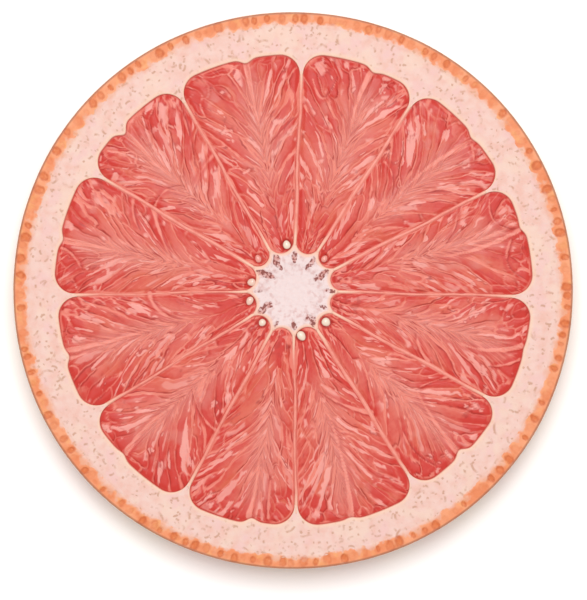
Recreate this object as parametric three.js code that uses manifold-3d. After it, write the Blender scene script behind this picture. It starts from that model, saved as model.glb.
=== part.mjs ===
// A round slice of pink grapefruit, cut across the fruit at its widest, lying on one of its two cut faces.
// Rind, pith, membranes, core and pulp have grown together, so the slice is a single solid. Both cut faces
// show twelve pulp segments round a star-shaped core. Each segment is laid out like a leaf: its juice sacs
// are ridges that slant outwards from a spine along the middle of the segment to its outline.
// Millimetres, +Z up. The origin is the middle of the lower cut face.
import * as THREE from "three";
import { mergeVertices } from "three/addons/utils/BufferGeometryUtils.js";
import Module from "manifold-3d";

const { degToRad, lerp, smoothstep } = THREE.MathUtils;

// ---- Driving dimensions ----
const FRUIT_RADIUS = 53; // rind, at its widest, half way up the slice
const THICKNESS = 12; // between the two cut faces
const PULP_RADIUS = 44.6; // where the segments end and the pith begins
const TIP_RADIUS = 7.35; // where the segments begin, round the core
const MEMBRANE = 0.56; // thickness of the wall between two segments
const OUTER_CORNER = 3.7; // rounding of a segment's two outer corners
const MEMBRANE_WAVE = 0.14; // how far a membrane strays from a straight line
const DENT_WIDTH = 1.25; // half width of the dent where a vein enters a segment

const KNIFE_EDGE = 0.3; // softening of the rind's two sharp edges
const RIND_PEBBLE = 0.07; // height of the rind's unevenness
// slow waves in the fruit's outline: how many round the fruit, their height, and the angle of a crest
const RIM_WAVES = [
  { count: 2, height: 0.14, crest: 0 },
  { count: 4, height: 0.13, crest: degToRad(45) },
];

const PULP_SINK = 0.5; // how far the pulp lies under the cut face along its outline
const PULP_CROWN = 0.12; // how much less its grooves are sunk away from the outline
const SAC_RELIEF = 0.34; // the most that a sac's crest stands over the groove beside it
const SINK_REACH = 1.4; // how far in from the outline the pulp has risen
const SAC_SLANT = 0.72; // share of the spine that the sacs along a membrane start from
const CORE_DIP = 0.35; // how far the spongy core has sunk
const CORE_RADIUS = 5.2; // of that dip
const SEED_PROUD = 0.35; // how much of a seed stands over the cut face

// The segments, clockwise seen from above: the angle of the membrane before each one, how far its two lobes
// reach past PULP_RADIUS, and the dent between them, as a share of the way across and a depth.
const SEGMENTS = [
  { membrane: 87.8, lobes: [0, -0.5], dent: { share: 0.6, depth: 0.45 } },
  { membrane: 57.6, lobes: [0.2, -0.1], dent: { share: 0.56, depth: 0.4 } },
  { membrane: 27.1, lobes: [-0.2, 0.5], dent: { share: 0.4, depth: 0.15 } },
  { membrane: -1.5, lobes: [0.3, 0.3], dent: { share: 0.47, depth: 0.2 } },
  { membrane: -28.8, lobes: [0, -0.5], dent: { share: 0.52, depth: 0.8 } },
  { membrane: -58, lobes: [0, -0.3], dent: { share: 0.57, depth: 0.3 } },
  { membrane: -89.2, lobes: [-0.5, 0.1], dent: { share: 0.38, depth: 0.6 } },
  { membrane: -118.2, lobes: [0.3, 0], dent: { share: 0.59, depth: 0.3 } },
  { membrane: -148.6, lobes: [0.2, -0.2], dent: { share: 0.5, depth: 0.55 } },
  { membrane: -178.8, lobes: [0.3, 0.4], dent: { share: 0.43, depth: 0.6 } },
  { membrane: -210.6, lobes: [0, 0], dent: { share: 0.42, depth: 1.4 } },
  { membrane: -240, lobes: [-0.1, -0.2], dent: { share: 0.57, depth: 0.8 } },
];

// The undeveloped seeds in the tips of some segments: distance from the middle of the slice, angle, length,
// width, and how far the long axis is turned from pointing at the middle.
const SEEDS = [
  { reach: 8.7, angle: 98, length: 1.65, width: 1.4, turn: 5 },
  { reach: 8, angle: 168.9, length: 1.55, width: 1.4, turn: 20 },
  { reach: 8.4, angle: 193.5, length: 1.7, width: 1.25, turn: 50 },
  { reach: 8.4, angle: 226.2, length: 1.4, width: 1.3, turn: 0 },
  { reach: 8.7, angle: 280.3, length: 1.95, width: 1.5, turn: 25 },
  { reach: 8.6, angle: 316.2, length: 1.65, width: 1.6, turn: 0 },
  { reach: 8.9, angle: 137.7, length: 1.5, width: 1.1, turn: -30 },
  { reach: 8.4, angle: 45.4, length: 1.4, width: 1.1, turn: 10 },
];

// ---- How finely the surface is cut up ----
const RIM_STEPS = 96;
const RIND_ROWS = 4;
const OUTLINE_STEPS = { arc: 6, membrane: 16, lobe: 24 };
// rows run from the core outwards, columns are shares of the way from a segment's spine to its outline
const SHOWN_FACE = { rows: 24, columns: [0, 0.38, 0.72, 0.93, 1] };
const UNDER_FACE = { rows: 12, columns: [0, 0.5, 0.9, 1] };

const wasm = await Module();
wasm.setup();

// Returns a function that draws repeatable random numbers from 0 to 1.
function makeRandom(seed) {
  let state = seed;
  return () => {
    state = (state * 16807) % 2147483647;
    return state / 2147483647;
  };
}

const random = makeRandom(7);

function polar(radius, angle) {
  return new THREE.Vector2(Math.cos(angle), Math.sin(angle)).multiplyScalar(radius);
}

// Calls draw with count + 1 shares from 0 to 1.
function sweep(count, draw) {
  return Array.from({ length: count + 1 }, (_, i) => draw(i / count));
}

// The geometry with only its positions, and with its shared vertices made one.
function welded(geometry) {
  const bare = geometry.clone();
  bare.deleteAttribute("normal");
  bare.deleteAttribute("uv");
  return mergeVertices(bare, 1e-4);
}

// A closed three.js geometry as a manifold-3d solid.
function solidOf(geometry) {
  const { attributes, index } = welded(geometry);
  const vertProperties = attributes.position.array;
  const triVerts = new Uint32Array(index.array);
  return new wasm.Manifold(new wasm.Mesh({ numProp: 3, vertProperties, triVerts }));
}

// A manifold-3d solid as a three.js geometry.
function geometryOf(solid) {
  const { vertProperties, triVerts } = solid.getMesh();
  const geometry = new THREE.BufferGeometry();
  geometry.setAttribute("position", new THREE.BufferAttribute(vertProperties, 3));
  geometry.setIndex(new THREE.BufferAttribute(triVerts, 1));
  geometry.computeVertexNormals();
  return geometry;
}

// How far the fruit's outline lies outside a circle at an angle.
function rimWave(angle) {
  const heights = RIM_WAVES.map(({ count, height, crest }) => height * Math.cos(count * (angle - crest)));
  return heights.reduce((sum, height) => sum + height);
}

// The whole disc: a band out of a sphere, with softened knife edges and an uneven rind.
function makeDisc() {
  const band = sweep(RIND_ROWS, (share) => {
    const height = lerp(KNIFE_EDGE, THICKNESS - KNIFE_EDGE, share);
    return new THREE.Vector2(Math.sqrt(FRUIT_RADIUS ** 2 - (height - THICKNESS / 2) ** 2), height);
  });
  const cutRadius = band[0].x - KNIFE_EDGE;
  const profile = [
    new THREE.Vector2(0, 0),
    new THREE.Vector2(cutRadius, 0),
    ...band,
    new THREE.Vector2(cutRadius, THICKNESS),
    new THREE.Vector2(0, THICKNESS),
  ];
  const disc = welded(new THREE.LatheGeometry(profile, RIM_STEPS));
  disc.rotateX(Math.PI / 2); // the lathe turns about Y, the slice about Z
  const place = disc.attributes.position;
  for (let i = 0; i < place.count; i++) {
    const radius = Math.hypot(place.getX(i), place.getY(i));
    if (radius < cutRadius / 2) continue; // the middle of a cut face
    const pebble = radius > cutRadius + KNIFE_EDGE / 2 ? lerp(-RIND_PEBBLE, RIND_PEBBLE, random()) : 0;
    const growth = (rimWave(Math.atan2(place.getY(i), place.getX(i))) + pebble) / radius;
    place.setXY(i, place.getX(i) * (1 + growth), place.getY(i) * (1 + growth));
  }
  return solidOf(disc);
}

// How far membrane number index strays, clockwise, at a share of its length.
function membraneWave(index, share) {
  const phase = (index % SEGMENTS.length) / 5;
  return MEMBRANE_WAVE * Math.sin(Math.PI * share) * Math.sin(2 * Math.PI * (1.5 * share + phase));
}

// Half of a segment's outline, from the tip by the core to the dent. It is drawn with the membrane along +X
// and the pulp above it.
function drawHalf({ halfAngle, lobe, dentRadius, dentTurn, stray }) {
  const wall = MEMBRANE / 2;
  const tipRounding = (TIP_RADIUS * Math.sin(halfAngle) - wall) / (1 - Math.sin(halfAngle));
  const tipCentre = polar(TIP_RADIUS + tipRounding, halfAngle);
  const outer = PULP_RADIUS + lobe;
  const cornerTurn = Math.asin((wall + OUTER_CORNER) / (outer - OUTER_CORNER));
  const cornerCentre = polar(outer - OUTER_CORNER, cornerTurn);
  const quarter = Math.PI / 2;
  return [
    ...sweep(OUTLINE_STEPS.arc, (share) =>
      polar(tipRounding, lerp(halfAngle - 2 * quarter, -quarter, share)).add(tipCentre),
    ),
    ...sweep(OUTLINE_STEPS.membrane, (share) =>
      new THREE.Vector2(lerp(tipCentre.x, cornerCentre.x, share), wall + stray(share)),
    ).slice(1, -1),
    ...sweep(OUTLINE_STEPS.arc, (share) =>
      polar(OUTER_CORNER, lerp(-quarter, cornerTurn, share)).add(cornerCentre),
    ),
    ...sweep(OUTLINE_STEPS.lobe, (share) => {
      const turn = lerp(cornerTurn, dentTurn, share);
      const away = ((turn - dentTurn) * outer) / DENT_WIDTH;
      return polar(lerp(outer, dentRadius, Math.exp(-away * away)), turn);
    }).slice(1),
  ];
}

// One segment's plan: where its spine starts and ends, and the two halves of its outline between them.
function planSegment(index) {
  const { membrane, lobes, dent } = SEGMENTS[index];
  const next = SEGMENTS[(index + 1) % SEGMENTS.length].membrane;
  const width = degToRad((membrane - next + 360) % 360);
  const rays = [degToRad(membrane), degToRad(membrane) - width];
  const dentTurns = [width * dent.share, width * (1 - dent.share)];
  const dentRadius = PULP_RADIUS + Math.min(...lobes) - dent.depth;
  const halves = [0, 1].map((side) => {
    const inward = side === 0 ? -1 : 1; // clockwise from the first membrane, anticlockwise from the next
    const points = drawHalf({
      halfAngle: width / 2,
      lobe: lobes[side],
      dentRadius,
      dentTurn: dentTurns[side],
      stray: (share) => -inward * membraneWave(index + side, share),
    });
    points.forEach((point) => {
      point.y *= inward;
      point.rotateAround(new THREE.Vector2(), rays[side]);
    });
    return new THREE.Path(points);
  });
  return {
    tip: polar(TIP_RADIUS, rays[0] - width / 2),
    dent: polar(dentRadius, rays[0] - dentTurns[0]),
    halves,
  };
}

// The point on the spine that a row starts from: behind the outline's point, so that the sacs slant outwards.
function spinePoint({ tip, dent }, share) {
  return tip.clone().lerp(dent, SAC_SLANT * share + (1 - SAC_SLANT) * share ** 6);
}

// The height of the pulp against the cut face: sunk along the outline, and every odd row is a sac's crest.
function sacHeight(inside, row, rows, crest) {
  const rise = smoothstep(inside, 0, SINK_REACH);
  const fade = smoothstep(Math.min(row, rows - row) / rows, 0, 2 / rows);
  const ridge = row % 2 ? crest * SAC_RELIEF * rise : 0;
  return -PULP_SINK + fade * (rise * PULP_CROWN + ridge);
}

// What is missing over one segment's pulp: a body whose underside is the relief of the juice sacs and whose
// top is clear of the cut face. Its underside is a grid on each side of the spine.
function makeScoop(plan, { rows, columns }) {
  const positions = [];
  const faces = [];
  const addPoint = ({ x, y }, height) => positions.push(x, y, height) / 3 - 1;
  const addFace = (a, b, c) => faces.push(a, b, c);
  const outlines = plan.halves.map((path) => path.getSpacedPoints(rows));

  const spine = sweep(rows, (share) => {
    const row = Math.round(share * rows);
    const spot = spinePoint(plan, share);
    const inside = Math.min(...outlines.map((outline) => outline[row].distanceTo(spot)));
    return addPoint(spot, sacHeight(inside, row, rows, 0.5));
  });
  const grids = outlines.map((outline) =>
    outline.map((edge, row) => {
      if (row === 0 || row === rows) return columns.map(() => spine[row]);
      const crest = lerp(0.7, 1, random());
      return columns.map((column) => {
        if (column === 0) return spine[row];
        const spot = spinePoint(plan, row / rows).lerp(edge, column);
        return addPoint(spot, sacHeight(edge.distanceTo(spot), row, rows, crest));
      });
    }),
  );
  grids.forEach((grid, side) => {
    for (let row = 0; row < rows; row++)
      for (let column = 1; column < columns.length; column++) {
        const cell = [grid[row], grid[row + 1]].flatMap((line) => [line[column - 1], line[column]]);
        const [a, b, c, d] = side === 0 ? cell : [cell[1], cell[0], cell[3], cell[2]]; // mirrored
        if (row > 0) addFace(a, b, d);
        if (row < rows - 1) addFace(a, d, c);
      }
  });

  const edges = grids.map((grid) => grid.map((row) => row.at(-1)));
  const ring = [...edges[1], ...edges[0].slice(1, -1).reverse()];
  const corner = (low) => new THREE.Vector2(positions[3 * low], positions[3 * low + 1]);
  const lid = ring.map((low) => addPoint(corner(low), PULP_SINK));
  const hub = addPoint(spinePoint(plan, 0.8), PULP_SINK);
  ring.forEach((low, i) => {
    const next = (i + 1) % ring.length;
    addFace(low, ring[next], lid[next]);
    addFace(low, lid[next], lid[i]);
    addFace(hub, lid[i], lid[next]);
  });
  const geometry = new THREE.BufferGeometry();
  geometry.setAttribute("position", new THREE.Float32BufferAttribute(positions, 3));
  geometry.setIndex(faces);
  return geometry;
}

// A seed is a small egg, half sunk in the pulp of the upper face.
function makeSeed({ reach, angle, length, width, turn }) {
  const egg = new THREE.SphereGeometry(0.5, 6, 4);
  egg.scale(length, width, width);
  egg.rotateZ(degToRad(angle + turn));
  const spot = polar(reach, degToRad(angle));
  egg.translate(spot.x, spot.y, THICKNESS + SEED_PROUD - width / 2);
  return solidOf(egg);
}

// What the sunken core is missing: a flat bowl, as deep below the cut face as it is high above it.
function makeCoreDip() {
  const bowl = new THREE.SphereGeometry(CORE_RADIUS, 24, 12);
  bowl.rotateX(Math.PI / 2);
  bowl.scale(1, 1, CORE_DIP / CORE_RADIUS);
  return solidOf(bowl);
}

// The disc, less what is missing over the pulp and the core of both faces, with the seeds.
function makeSlice() {
  const plans = SEGMENTS.map((_, index) => planSegment(index));
  const scoops = (face) => [...plans.map((plan) => solidOf(makeScoop(plan, face))), makeCoreDip()];
  const missing = [
    ...scoops(SHOWN_FACE).map((scoop) => scoop.translate([0, 0, THICKNESS])),
    ...scoops(UNDER_FACE).map((scoop) => scoop.mirror([0, 0, 1])),
  ];
  const bare = missing.reduce((rest, scoop) => rest.subtract(scoop), makeDisc());
  return SEEDS.map(makeSeed).reduce((whole, seed) => whole.add(seed), bare);
}

const flesh = new THREE.MeshStandardMaterial({ color: 0xe6786c, roughness: 0.35, metalness: 0 });
const slice = new THREE.Mesh(geometryOf(makeSlice()), flesh);
slice.name = "grapefruit_slice";

const model = new THREE.Group();
model.add(slice);

export default model;
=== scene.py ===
"""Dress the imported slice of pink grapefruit: rind, spongy pith, thin membranes, wet pulp and a white core.

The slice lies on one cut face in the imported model's frame: +Z up, the origin in the middle of the lower face.
Shapes are worked out in millimetres with numpy, as whole grids of points, and go into meshes in metres. Every
piece is one or more grids that close on themselves, so each bounds a solid part of the slice.
"""
import itertools
import logging
import math
from dataclasses import dataclass, field
from enum import Enum

import bpy
import numpy as np
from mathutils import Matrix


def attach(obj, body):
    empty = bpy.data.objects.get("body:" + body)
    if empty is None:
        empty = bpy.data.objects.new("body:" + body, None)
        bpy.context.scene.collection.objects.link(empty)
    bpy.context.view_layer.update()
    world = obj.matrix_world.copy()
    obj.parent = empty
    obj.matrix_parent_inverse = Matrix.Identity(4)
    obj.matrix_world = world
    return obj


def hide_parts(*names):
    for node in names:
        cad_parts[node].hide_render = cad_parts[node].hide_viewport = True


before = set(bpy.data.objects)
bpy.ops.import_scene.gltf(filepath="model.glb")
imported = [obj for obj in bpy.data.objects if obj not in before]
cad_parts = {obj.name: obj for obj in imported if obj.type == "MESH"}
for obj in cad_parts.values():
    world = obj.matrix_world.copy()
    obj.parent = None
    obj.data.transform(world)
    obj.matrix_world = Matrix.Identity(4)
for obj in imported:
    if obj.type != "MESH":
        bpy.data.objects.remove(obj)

MM = 0.001  # metres in a millimetre
LIGHT = 1.3  # the studio's light on a level white sheet, with the gloss that comes with it
NODE = "grapefruit_slice"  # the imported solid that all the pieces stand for
FULL_TURN = 6.283  # radians
Array = np.ndarray
log = logging.getLogger("grapefruit")


class Slot(Enum):
    """The record's material slots."""

    PULP = "pulp"
    RIND = "rind"
    PITH = "pith"
    SEED = "seed"


class Face(Enum):
    """The two cut faces: the one that shows and the one the slice lies on."""

    SHOWN = 1
    UNDER = -1


# ---------------------------------------------------------------- numbers on grids


def smoothstep(low: float, high: float, value: Array) -> Array:
    """Blend from 0 at low to 1 at high with level ends: 3t^2 - 2t^3 of the clipped share t.

    Args:
        low: Where the blend is 0. It may be above high, and the blend then falls.
        high: Where the blend is 1.
        value: The numbers to blend.

    Returns:
        An array from 0 to 1.
    """
    share = np.clip((value - low) / (high - low), 0, 1)
    return share * share * (3 - 2 * share)


def lattice_random(cells: Array, seed: int) -> Array:
    """Give each lattice cell a repeatable random number from 0 to 1, by mixing its whole-number coordinates.

    Args:
        cells: Whole numbers, with the coordinates along the last axis.
        seed: Picks another set of numbers.

    Returns:
        An array without the last axis.
    """
    primes = np.array([73856093, 19349663, 83492791])[: cells.shape[-1]]
    mixed = (cells * primes).sum(axis=-1) + seed * 961748927
    mixed = (mixed ^ (mixed >> 13)) * 1274126177 & 0x7FFFFFFF
    return ((mixed ^ (mixed >> 16)) & 0xFFFF) / 0xFFFF


def noise(points: Array, size: float, seed: int, octaves: int = 1) -> Array:
    """Give smooth noise: random heights on a lattice, blended along each axis by a smooth step.

    Args:
        points: Coordinates in millimetres along the last axis, two or three of them.
        size: The lattice's pitch in millimetres.
        seed: Picks another pattern.
        octaves: How many layers are added, each half as large and half as high as the one before.

    Returns:
        Noise from about -1 to 1, without the last axis.
    """
    total = np.zeros(points.shape[:-1])
    reach = 0.0
    for octave in range(octaves):
        scaled = points * 2**octave / size + 0.37 * (seed + octave)
        cell = np.floor(scaled).astype(np.int64)
        share = scaled - cell
        share = share * share * (3 - 2 * share)
        for corner in itertools.product((0, 1), repeat=points.shape[-1]):
            weight = np.prod(np.where(corner, share, 1 - share), axis=-1)
            total += weight * (2 * lattice_random(cell + np.array(corner), seed + octave) - 1) / 2**octave
        reach += 1 / 2**octave
    return total / reach


def spots(points: Array, size: float, seed: int, wrap: int = 0) -> tuple[Array, Array]:
    """Scatter one point in each cell of a square lattice and measure the distance to the nearest.

    Args:
        points: Two coordinates in millimetres along the last axis.
        size: The lattice's pitch in millimetres.
        seed: Picks another scatter.
        wrap: How many cells there are along the first coordinate before the pattern repeats, or 0.

    Returns:
        The distance to the nearest point, in millimetres, and that point's own random number from 0 to 1.
    """
    scaled = points / size
    cell = np.floor(scaled).astype(np.int64)
    nearest = np.full(points.shape[:-1], np.inf)
    owner = np.zeros(points.shape[:-1])
    for step in itertools.product((-1, 0, 1), repeat=2):
        there = cell + np.array(step)
        key = there.copy()
        if wrap:
            key[..., 0] %= wrap
        jitter = np.stack([lattice_random(key, seed), lattice_random(key, seed + 1)], axis=-1)
        away = np.linalg.norm(scaled - there - 0.15 - 0.7 * jitter, axis=-1)
        owner = np.where(away < nearest, lattice_random(key, seed + 2), owner)
        nearest = np.minimum(nearest, away)
    return nearest * size, owner


def polar(radius: Array | float, angle: Array | float) -> Array:
    """Turn radii and angles into points, with x and y along the last axis."""
    return np.stack([radius * np.cos(angle), radius * np.sin(angle)], axis=-1)


def evenly(path: Array, count: int) -> Array:
    """Place points along a path at equal distances.

    Args:
        path: The path's points, with x and y along the last axis.
        count: How many steps to take.

    Returns:
        An array of count + 1 points, from the path's start to its end.
    """
    along = np.concatenate([[0], np.cumsum(np.linalg.norm(np.diff(path, axis=0), axis=1))])
    wanted = np.linspace(0, along[-1], count + 1)
    return np.stack([np.interp(wanted, along, path[:, axis]) for axis in (0, 1)], axis=-1)


def from_outline(points: Array, outline: Array) -> Array:
    """Measure how far points lie from an outline, square to it at its nearest point.

    Args:
        points: Rows of points, with x and y along the last axis.
        outline: The outline's points.

    Returns:
        The distances.
    """
    ahead = np.gradient(outline, axis=0)
    normal = np.stack([-ahead[:, 1], ahead[:, 0]], axis=-1)
    normal /= np.linalg.norm(normal, axis=-1, keepdims=True)
    nearest = np.stack([((row[:, None] - outline[None]) ** 2).sum(axis=-1).argmin(axis=1) for row in points])
    return np.abs(((points - outline[nearest]) * normal[nearest]).sum(axis=-1))


# ---------------------------------------------------------------- the slice's plan


@dataclass(frozen=True)
class Segment:
    """One pulp segment, going clockwise from its first membrane.

    membrane is that membrane's angle in degrees, lobes is how far its two halves reach past the pulp radius,
    and the dent between them lies dent_share of the way across and is dent_depth deep. wall is half the
    membrane's thickness as it shows half way along.
    """

    membrane: float
    lobes: tuple[float, float]
    dent_share: float
    dent_depth: float
    wall: float


@dataclass(frozen=True)
class Seed:
    """An undeveloped seed: its polar place, its length and width, and how far it is turned from radial."""

    reach: float
    angle: float
    length: float
    width: float
    turn: float
    paleness: float = 1.0


@dataclass(frozen=True)
class Cluster:
    """The brown marks in one arm of the core: their middle's distance from the axis, sizes and strength."""

    reach: float
    half_length: float
    half_width: float
    strength: float


@dataclass(frozen=True)
class Fold:
    """A pale fold of skin across the sacs, as a quadratic curve: its ends, its control and its half width."""

    start: tuple[float, float]
    control: tuple[float, float]
    end: tuple[float, float]
    width: float = 0.3

    def measure(self, flat: Array) -> tuple[Array, Array, Array]:
        """Find each point's nearest place on the curve.

        Args:
            flat: The points.

        Returns:
            The share of the way along the curve, the distance from it, and 1 on its left and -1 on its right.
        """
        share = np.linspace(0, 1, 33)
        weights = np.stack([(1 - share) ** 2, 2 * share * (1 - share), share**2], axis=-1)
        curve = weights @ np.array([self.start, self.control, self.end])
        ahead = np.gradient(curve, axis=0)
        nearest = ((flat[..., None, :] - curve) ** 2).sum(axis=-1).argmin(axis=-1)
        off, tangent = flat - curve[nearest], ahead[nearest]
        side = np.sign(tangent[..., 0] * off[..., 1] - tangent[..., 1] * off[..., 0])
        return share[nearest], np.linalg.norm(off, axis=-1), side


@dataclass(frozen=True)
class SlicePlan:
    """The slice's sizes in millimetres and the outlines that its pieces share, seen from above."""

    fruit_radius: float = 53.0
    thickness: float = 12.0
    pulp_radius: float = 44.6
    tip_radius: float = 7.35
    membrane: float = 0.56
    corner: float = 3.7
    membrane_wave: float = 0.14
    dent_width: float = 1.25
    rim_waves: tuple[tuple[int, float, float], ...] = ((2, 0.14, 0.0), (4, 0.13, math.radians(45)))
    segments: tuple[Segment, ...] = (
        Segment(87.8, (0, -0.5), 0.6, 0.45, 0.33),
        Segment(57.6, (0.2, -0.1), 0.56, 0.4, 0.42),
        Segment(27.1, (-0.2, 0.5), 0.4, 0.15, 0.34),
        Segment(-1.5, (0.3, 0.3), 0.47, 0.2, 0.25),
        Segment(-28.8, (0, -0.5), 0.52, 0.8, 0.38),
        Segment(-58, (0, -0.3), 0.57, 0.3, 0.42),
        Segment(-89.2, (-0.5, 0.1), 0.38, 0.6, 0.28),
        Segment(-118.2, (0.3, 0), 0.59, 0.3, 0.34),
        Segment(-148.6, (0.2, -0.2), 0.5, 0.55, 0.28),
        Segment(-178.8, (0.3, 0.4), 0.43, 0.6, 0.22),
        Segment(-210.6, (0, 0), 0.42, 1.4, 0.36),
        Segment(-240, (-0.1, -0.2), 0.57, 0.8, 0.33),
    )
    seeds: tuple[Seed, ...] = (
        Seed(8.7, 98, 1.65, 1.4, 5),
        Seed(8.0, 168.9, 1.55, 1.4, 20, 0.6),
        Seed(8.4, 193.5, 1.7, 1.25, 50, 0.6),
        Seed(8.4, 226.2, 1.4, 1.3, 0, 0.8),
        Seed(8.7, 280.3, 1.95, 1.5, 25),
        Seed(8.6, 316.2, 1.65, 1.6, 0),
        Seed(8.9, 137.7, 1.5, 1.1, -30, 0.15),
        Seed(8.4, 45.4, 1.4, 1.1, 10, 0.15),
    )
    clusters: tuple[Cluster, ...] = (
        Cluster(6.3, 1.1, 0.5, 0.85),
        Cluster(6.1, 1.4, 0.5, 0.75),
        Cluster(6.2, 1.5, 0.6, 0.85),
        Cluster(7.0, 1.5, 0.5, 0.65),
        Cluster(6.6, 0.9, 0.4, 0.5),
        Cluster(6.6, 1.4, 0.85, 0.7),
        Cluster(6.5, 1.1, 0.5, 0.8),
        Cluster(6.9, 0.9, 0.45, 0.5),
        Cluster(6.3, 1.7, 0.75, 0.8),
        Cluster(6.6, 0.9, 0.35, 0.4),
        Cluster(6.0, 2.1, 0.65, 1.0),
        Cluster(6.0, 1.5, 0.75, 1.0),
    )
    folds: tuple[Fold, ...] = (
        Fold((-26.3, 15.5), (-25.4, 11.0), (-23.0, 6.0), 0.4),
        Fold((-30.1, 17.0), (-30.6, 14.0), (-29.0, 11.5), 0.25),
        Fold((-26.0, 16.0), (-24.5, 20.0), (-20.5, 19.5), 0.2),
        Fold((-21.3, 34.5), (-19.0, 28.5), (-18.8, 24.0), 0.2),
        Fold((-43.6, 8.0), (-41.0, 7.0), (-39.5, 3.5), 0.2),
        Fold((-15.0, 25.5), (-17.5, 23.0), (-18.5, 19.5), 0.2),
        Fold((-4.9, 26.5), (-3.4, 28.8), (0.2, 32.3), 0.2),
        Fold((14.8, 41.2), (11.5, 35.5), (10.6, 29.0), 0.5),
        Fold((33.7, 28.0), (25.5, 24.5), (19.0, 17.0), 0.5),
        Fold((33.6, 27.4), (34.4, 25.0), (33.8, 23.0), 0.2),
        Fold((42.6, 11.4), (34.0, 6.5), (26.0, 6.3), 0.45),
        Fold((30.8, 16.2), (31.3, 12.0), (28.7, 9.0), 0.17),
        Fold((37.0, 17.0), (36.5, 11.5), (42.2, 11.4), 0.18),
        Fold((41.0, 9.5), (38.5, 4.0), (43.6, 2.2), 0.16),
        Fold((2.2, 34.8), (4.0, 30.5), (8.0, 29.6), 0.18),
        Fold((3.8, 39.6), (5.4, 32.5), (8.4, 40.0), 0.2),
        Fold((17.2, 24.2), (19.8, 22.0), (18.0, 16.5), 0.2),
        Fold((-42.8, -11.3), (-34.0, -10.0), (-25.1, -6.5), 0.5),
        Fold((-31.5, -30.7), (-28.5, -25.0), (-18.5, -19.0), 0.45),
        Fold((-8.4, -42.6), (-6.8, -38.0), (-6.4, -31.0), 0.5),
        Fold((-4.7, -42.8), (-4.6, -39.0), (-4.2, -35.0), 0.3),
        Fold((-27.0, -0.6), (-26.0, -5.2), (-20.5, -5.6), 0.35),
        Fold((-14.2, -26.6), (-18.0, -24.0), (-18.8, -18.8), 0.25),
        Fold((31.3, -30.7), (27.0, -26.0), (23.3, -19.0), 0.5),
        Fold((10.9, -42.4), (10.6, -34.0), (6.2, -22.0), 0.5),
        Fold((43.0, -10.5), (34.0, -13.0), (26.4, -7.1), 0.45),
        Fold((42.6, -13.0), (40.0, -14.4), (37.0, -14.2), 0.25),
        Fold((25.4, -13.3), (23.5, -11.0), (23.3, -8.2), 0.35),
        Fold((14.7, -23.0), (10.5, -22.5), (5.0, -19.0), 0.35),
        Fold((29.4, -16.2), (26.5, -16.8), (23.2, -18.5), 0.2),
        Fold((20.0, -24.6), (21.5, -31.0), (26.6, -33.0), 0.2),
    )

    def rim_wave(self, angle: Array) -> Array:
        """Sum the slow cosine waves by which the fruit's outline strays from a circle, in millimetres."""
        return sum(height * np.cos(count * (angle - crest)) for count, height, crest in self.rim_waves)

    def ray(self, index: int) -> float:
        """Give membrane number index's angle in radians."""
        return math.radians(self.segments[index % len(self.segments)].membrane)

    def width(self, index: int) -> float:
        """Give the angle that a segment spans, in radians."""
        return (self.ray(index) - self.ray(index + 1)) % (2 * math.pi)

    def stray(self, index: int, share: Array) -> Array:
        """Give how far membrane index strays clockwise: one and a half waves that fade at both ends."""
        phase = (index % len(self.segments)) / 5
        return self.membrane_wave * np.sin(np.pi * share) * np.sin(2 * np.pi * (1.5 * share + phase))

    def dent(self, index: int) -> tuple[float, float]:
        """Give the radius of a segment's dent, and its angle from the segment's first membrane.

        Args:
            index: The segment's number.

        Returns:
            The radius in millimetres and the angle in radians.
        """
        segment = self.segments[index]
        radius = self.pulp_radius + min(segment.lobes) - segment.dent_depth
        return radius, self.width(index) * segment.dent_share

    def parts(self, index: int, side: int, outset: float) -> dict[str, Array]:
        """Draw half of a segment's outline: an arc by the core, a wavy wall, a corner's arc and a lobe.

        It is drawn with the membrane along +X and the pulp above it, and then turned into place.

        Args:
            index: The segment.
            side: 0 for the half along its first membrane, 1 for the half along the next.
            outset: How far outside the true outline to draw, in millimetres.

        Returns:
            The four stretches by name, each an array of points, from the tip to the dent.
        """
        segment, width = self.segments[index], self.width(index)
        half = width / 2
        wall = self.membrane / 2 - outset
        tip_radius, corner = self.tip_radius - outset, self.corner + outset
        rounding = (tip_radius * math.sin(half) - wall) / (1 - math.sin(half))
        tip_centre = polar(tip_radius + rounding, half)
        outer = self.pulp_radius + outset + segment.lobes[side]
        corner_turn = math.asin((wall + corner) / (outer - corner))
        corner_centre = polar(outer - corner, corner_turn)
        dent_radius, dent_turn = self.dent(index)
        if side == 1:
            dent_turn = width - dent_turn
        inward = 1 if side == 1 else -1

        share = np.linspace(0, 1, 49)
        turn = corner_turn + share * (dent_turn - corner_turn)
        away = (turn - dent_turn) * outer / self.dent_width
        radius = outer + (dent_radius + outset - outer) * np.exp(-away * away)
        wave = -inward * self.stray(index + side, share)
        local = {
            "tip": tip_centre + polar(rounding, half - np.pi + share * (np.pi / 2 - half)),
            "wall": np.stack([tip_centre[0] + share * (corner_centre - tip_centre)[0], wall + wave], axis=-1),
            "corner": corner_centre + polar(corner, -np.pi / 2 + share * (np.pi / 2 + corner_turn)),
            "lobe": polar(radius, turn),
        }
        angle = self.ray(index + side)
        turned = np.array([[math.cos(angle), math.sin(angle)], [-math.sin(angle), math.cos(angle)]])
        return {name: (points * [1, inward]) @ turned for name, points in local.items()}

    def half_outline(self, index: int, side: int, outset: float, count: int) -> Array:
        """Draw half of a segment's outline with count even steps, from its tip to its dent."""
        return evenly(np.concatenate(list(self.parts(index, side, outset).values())), count)

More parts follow.
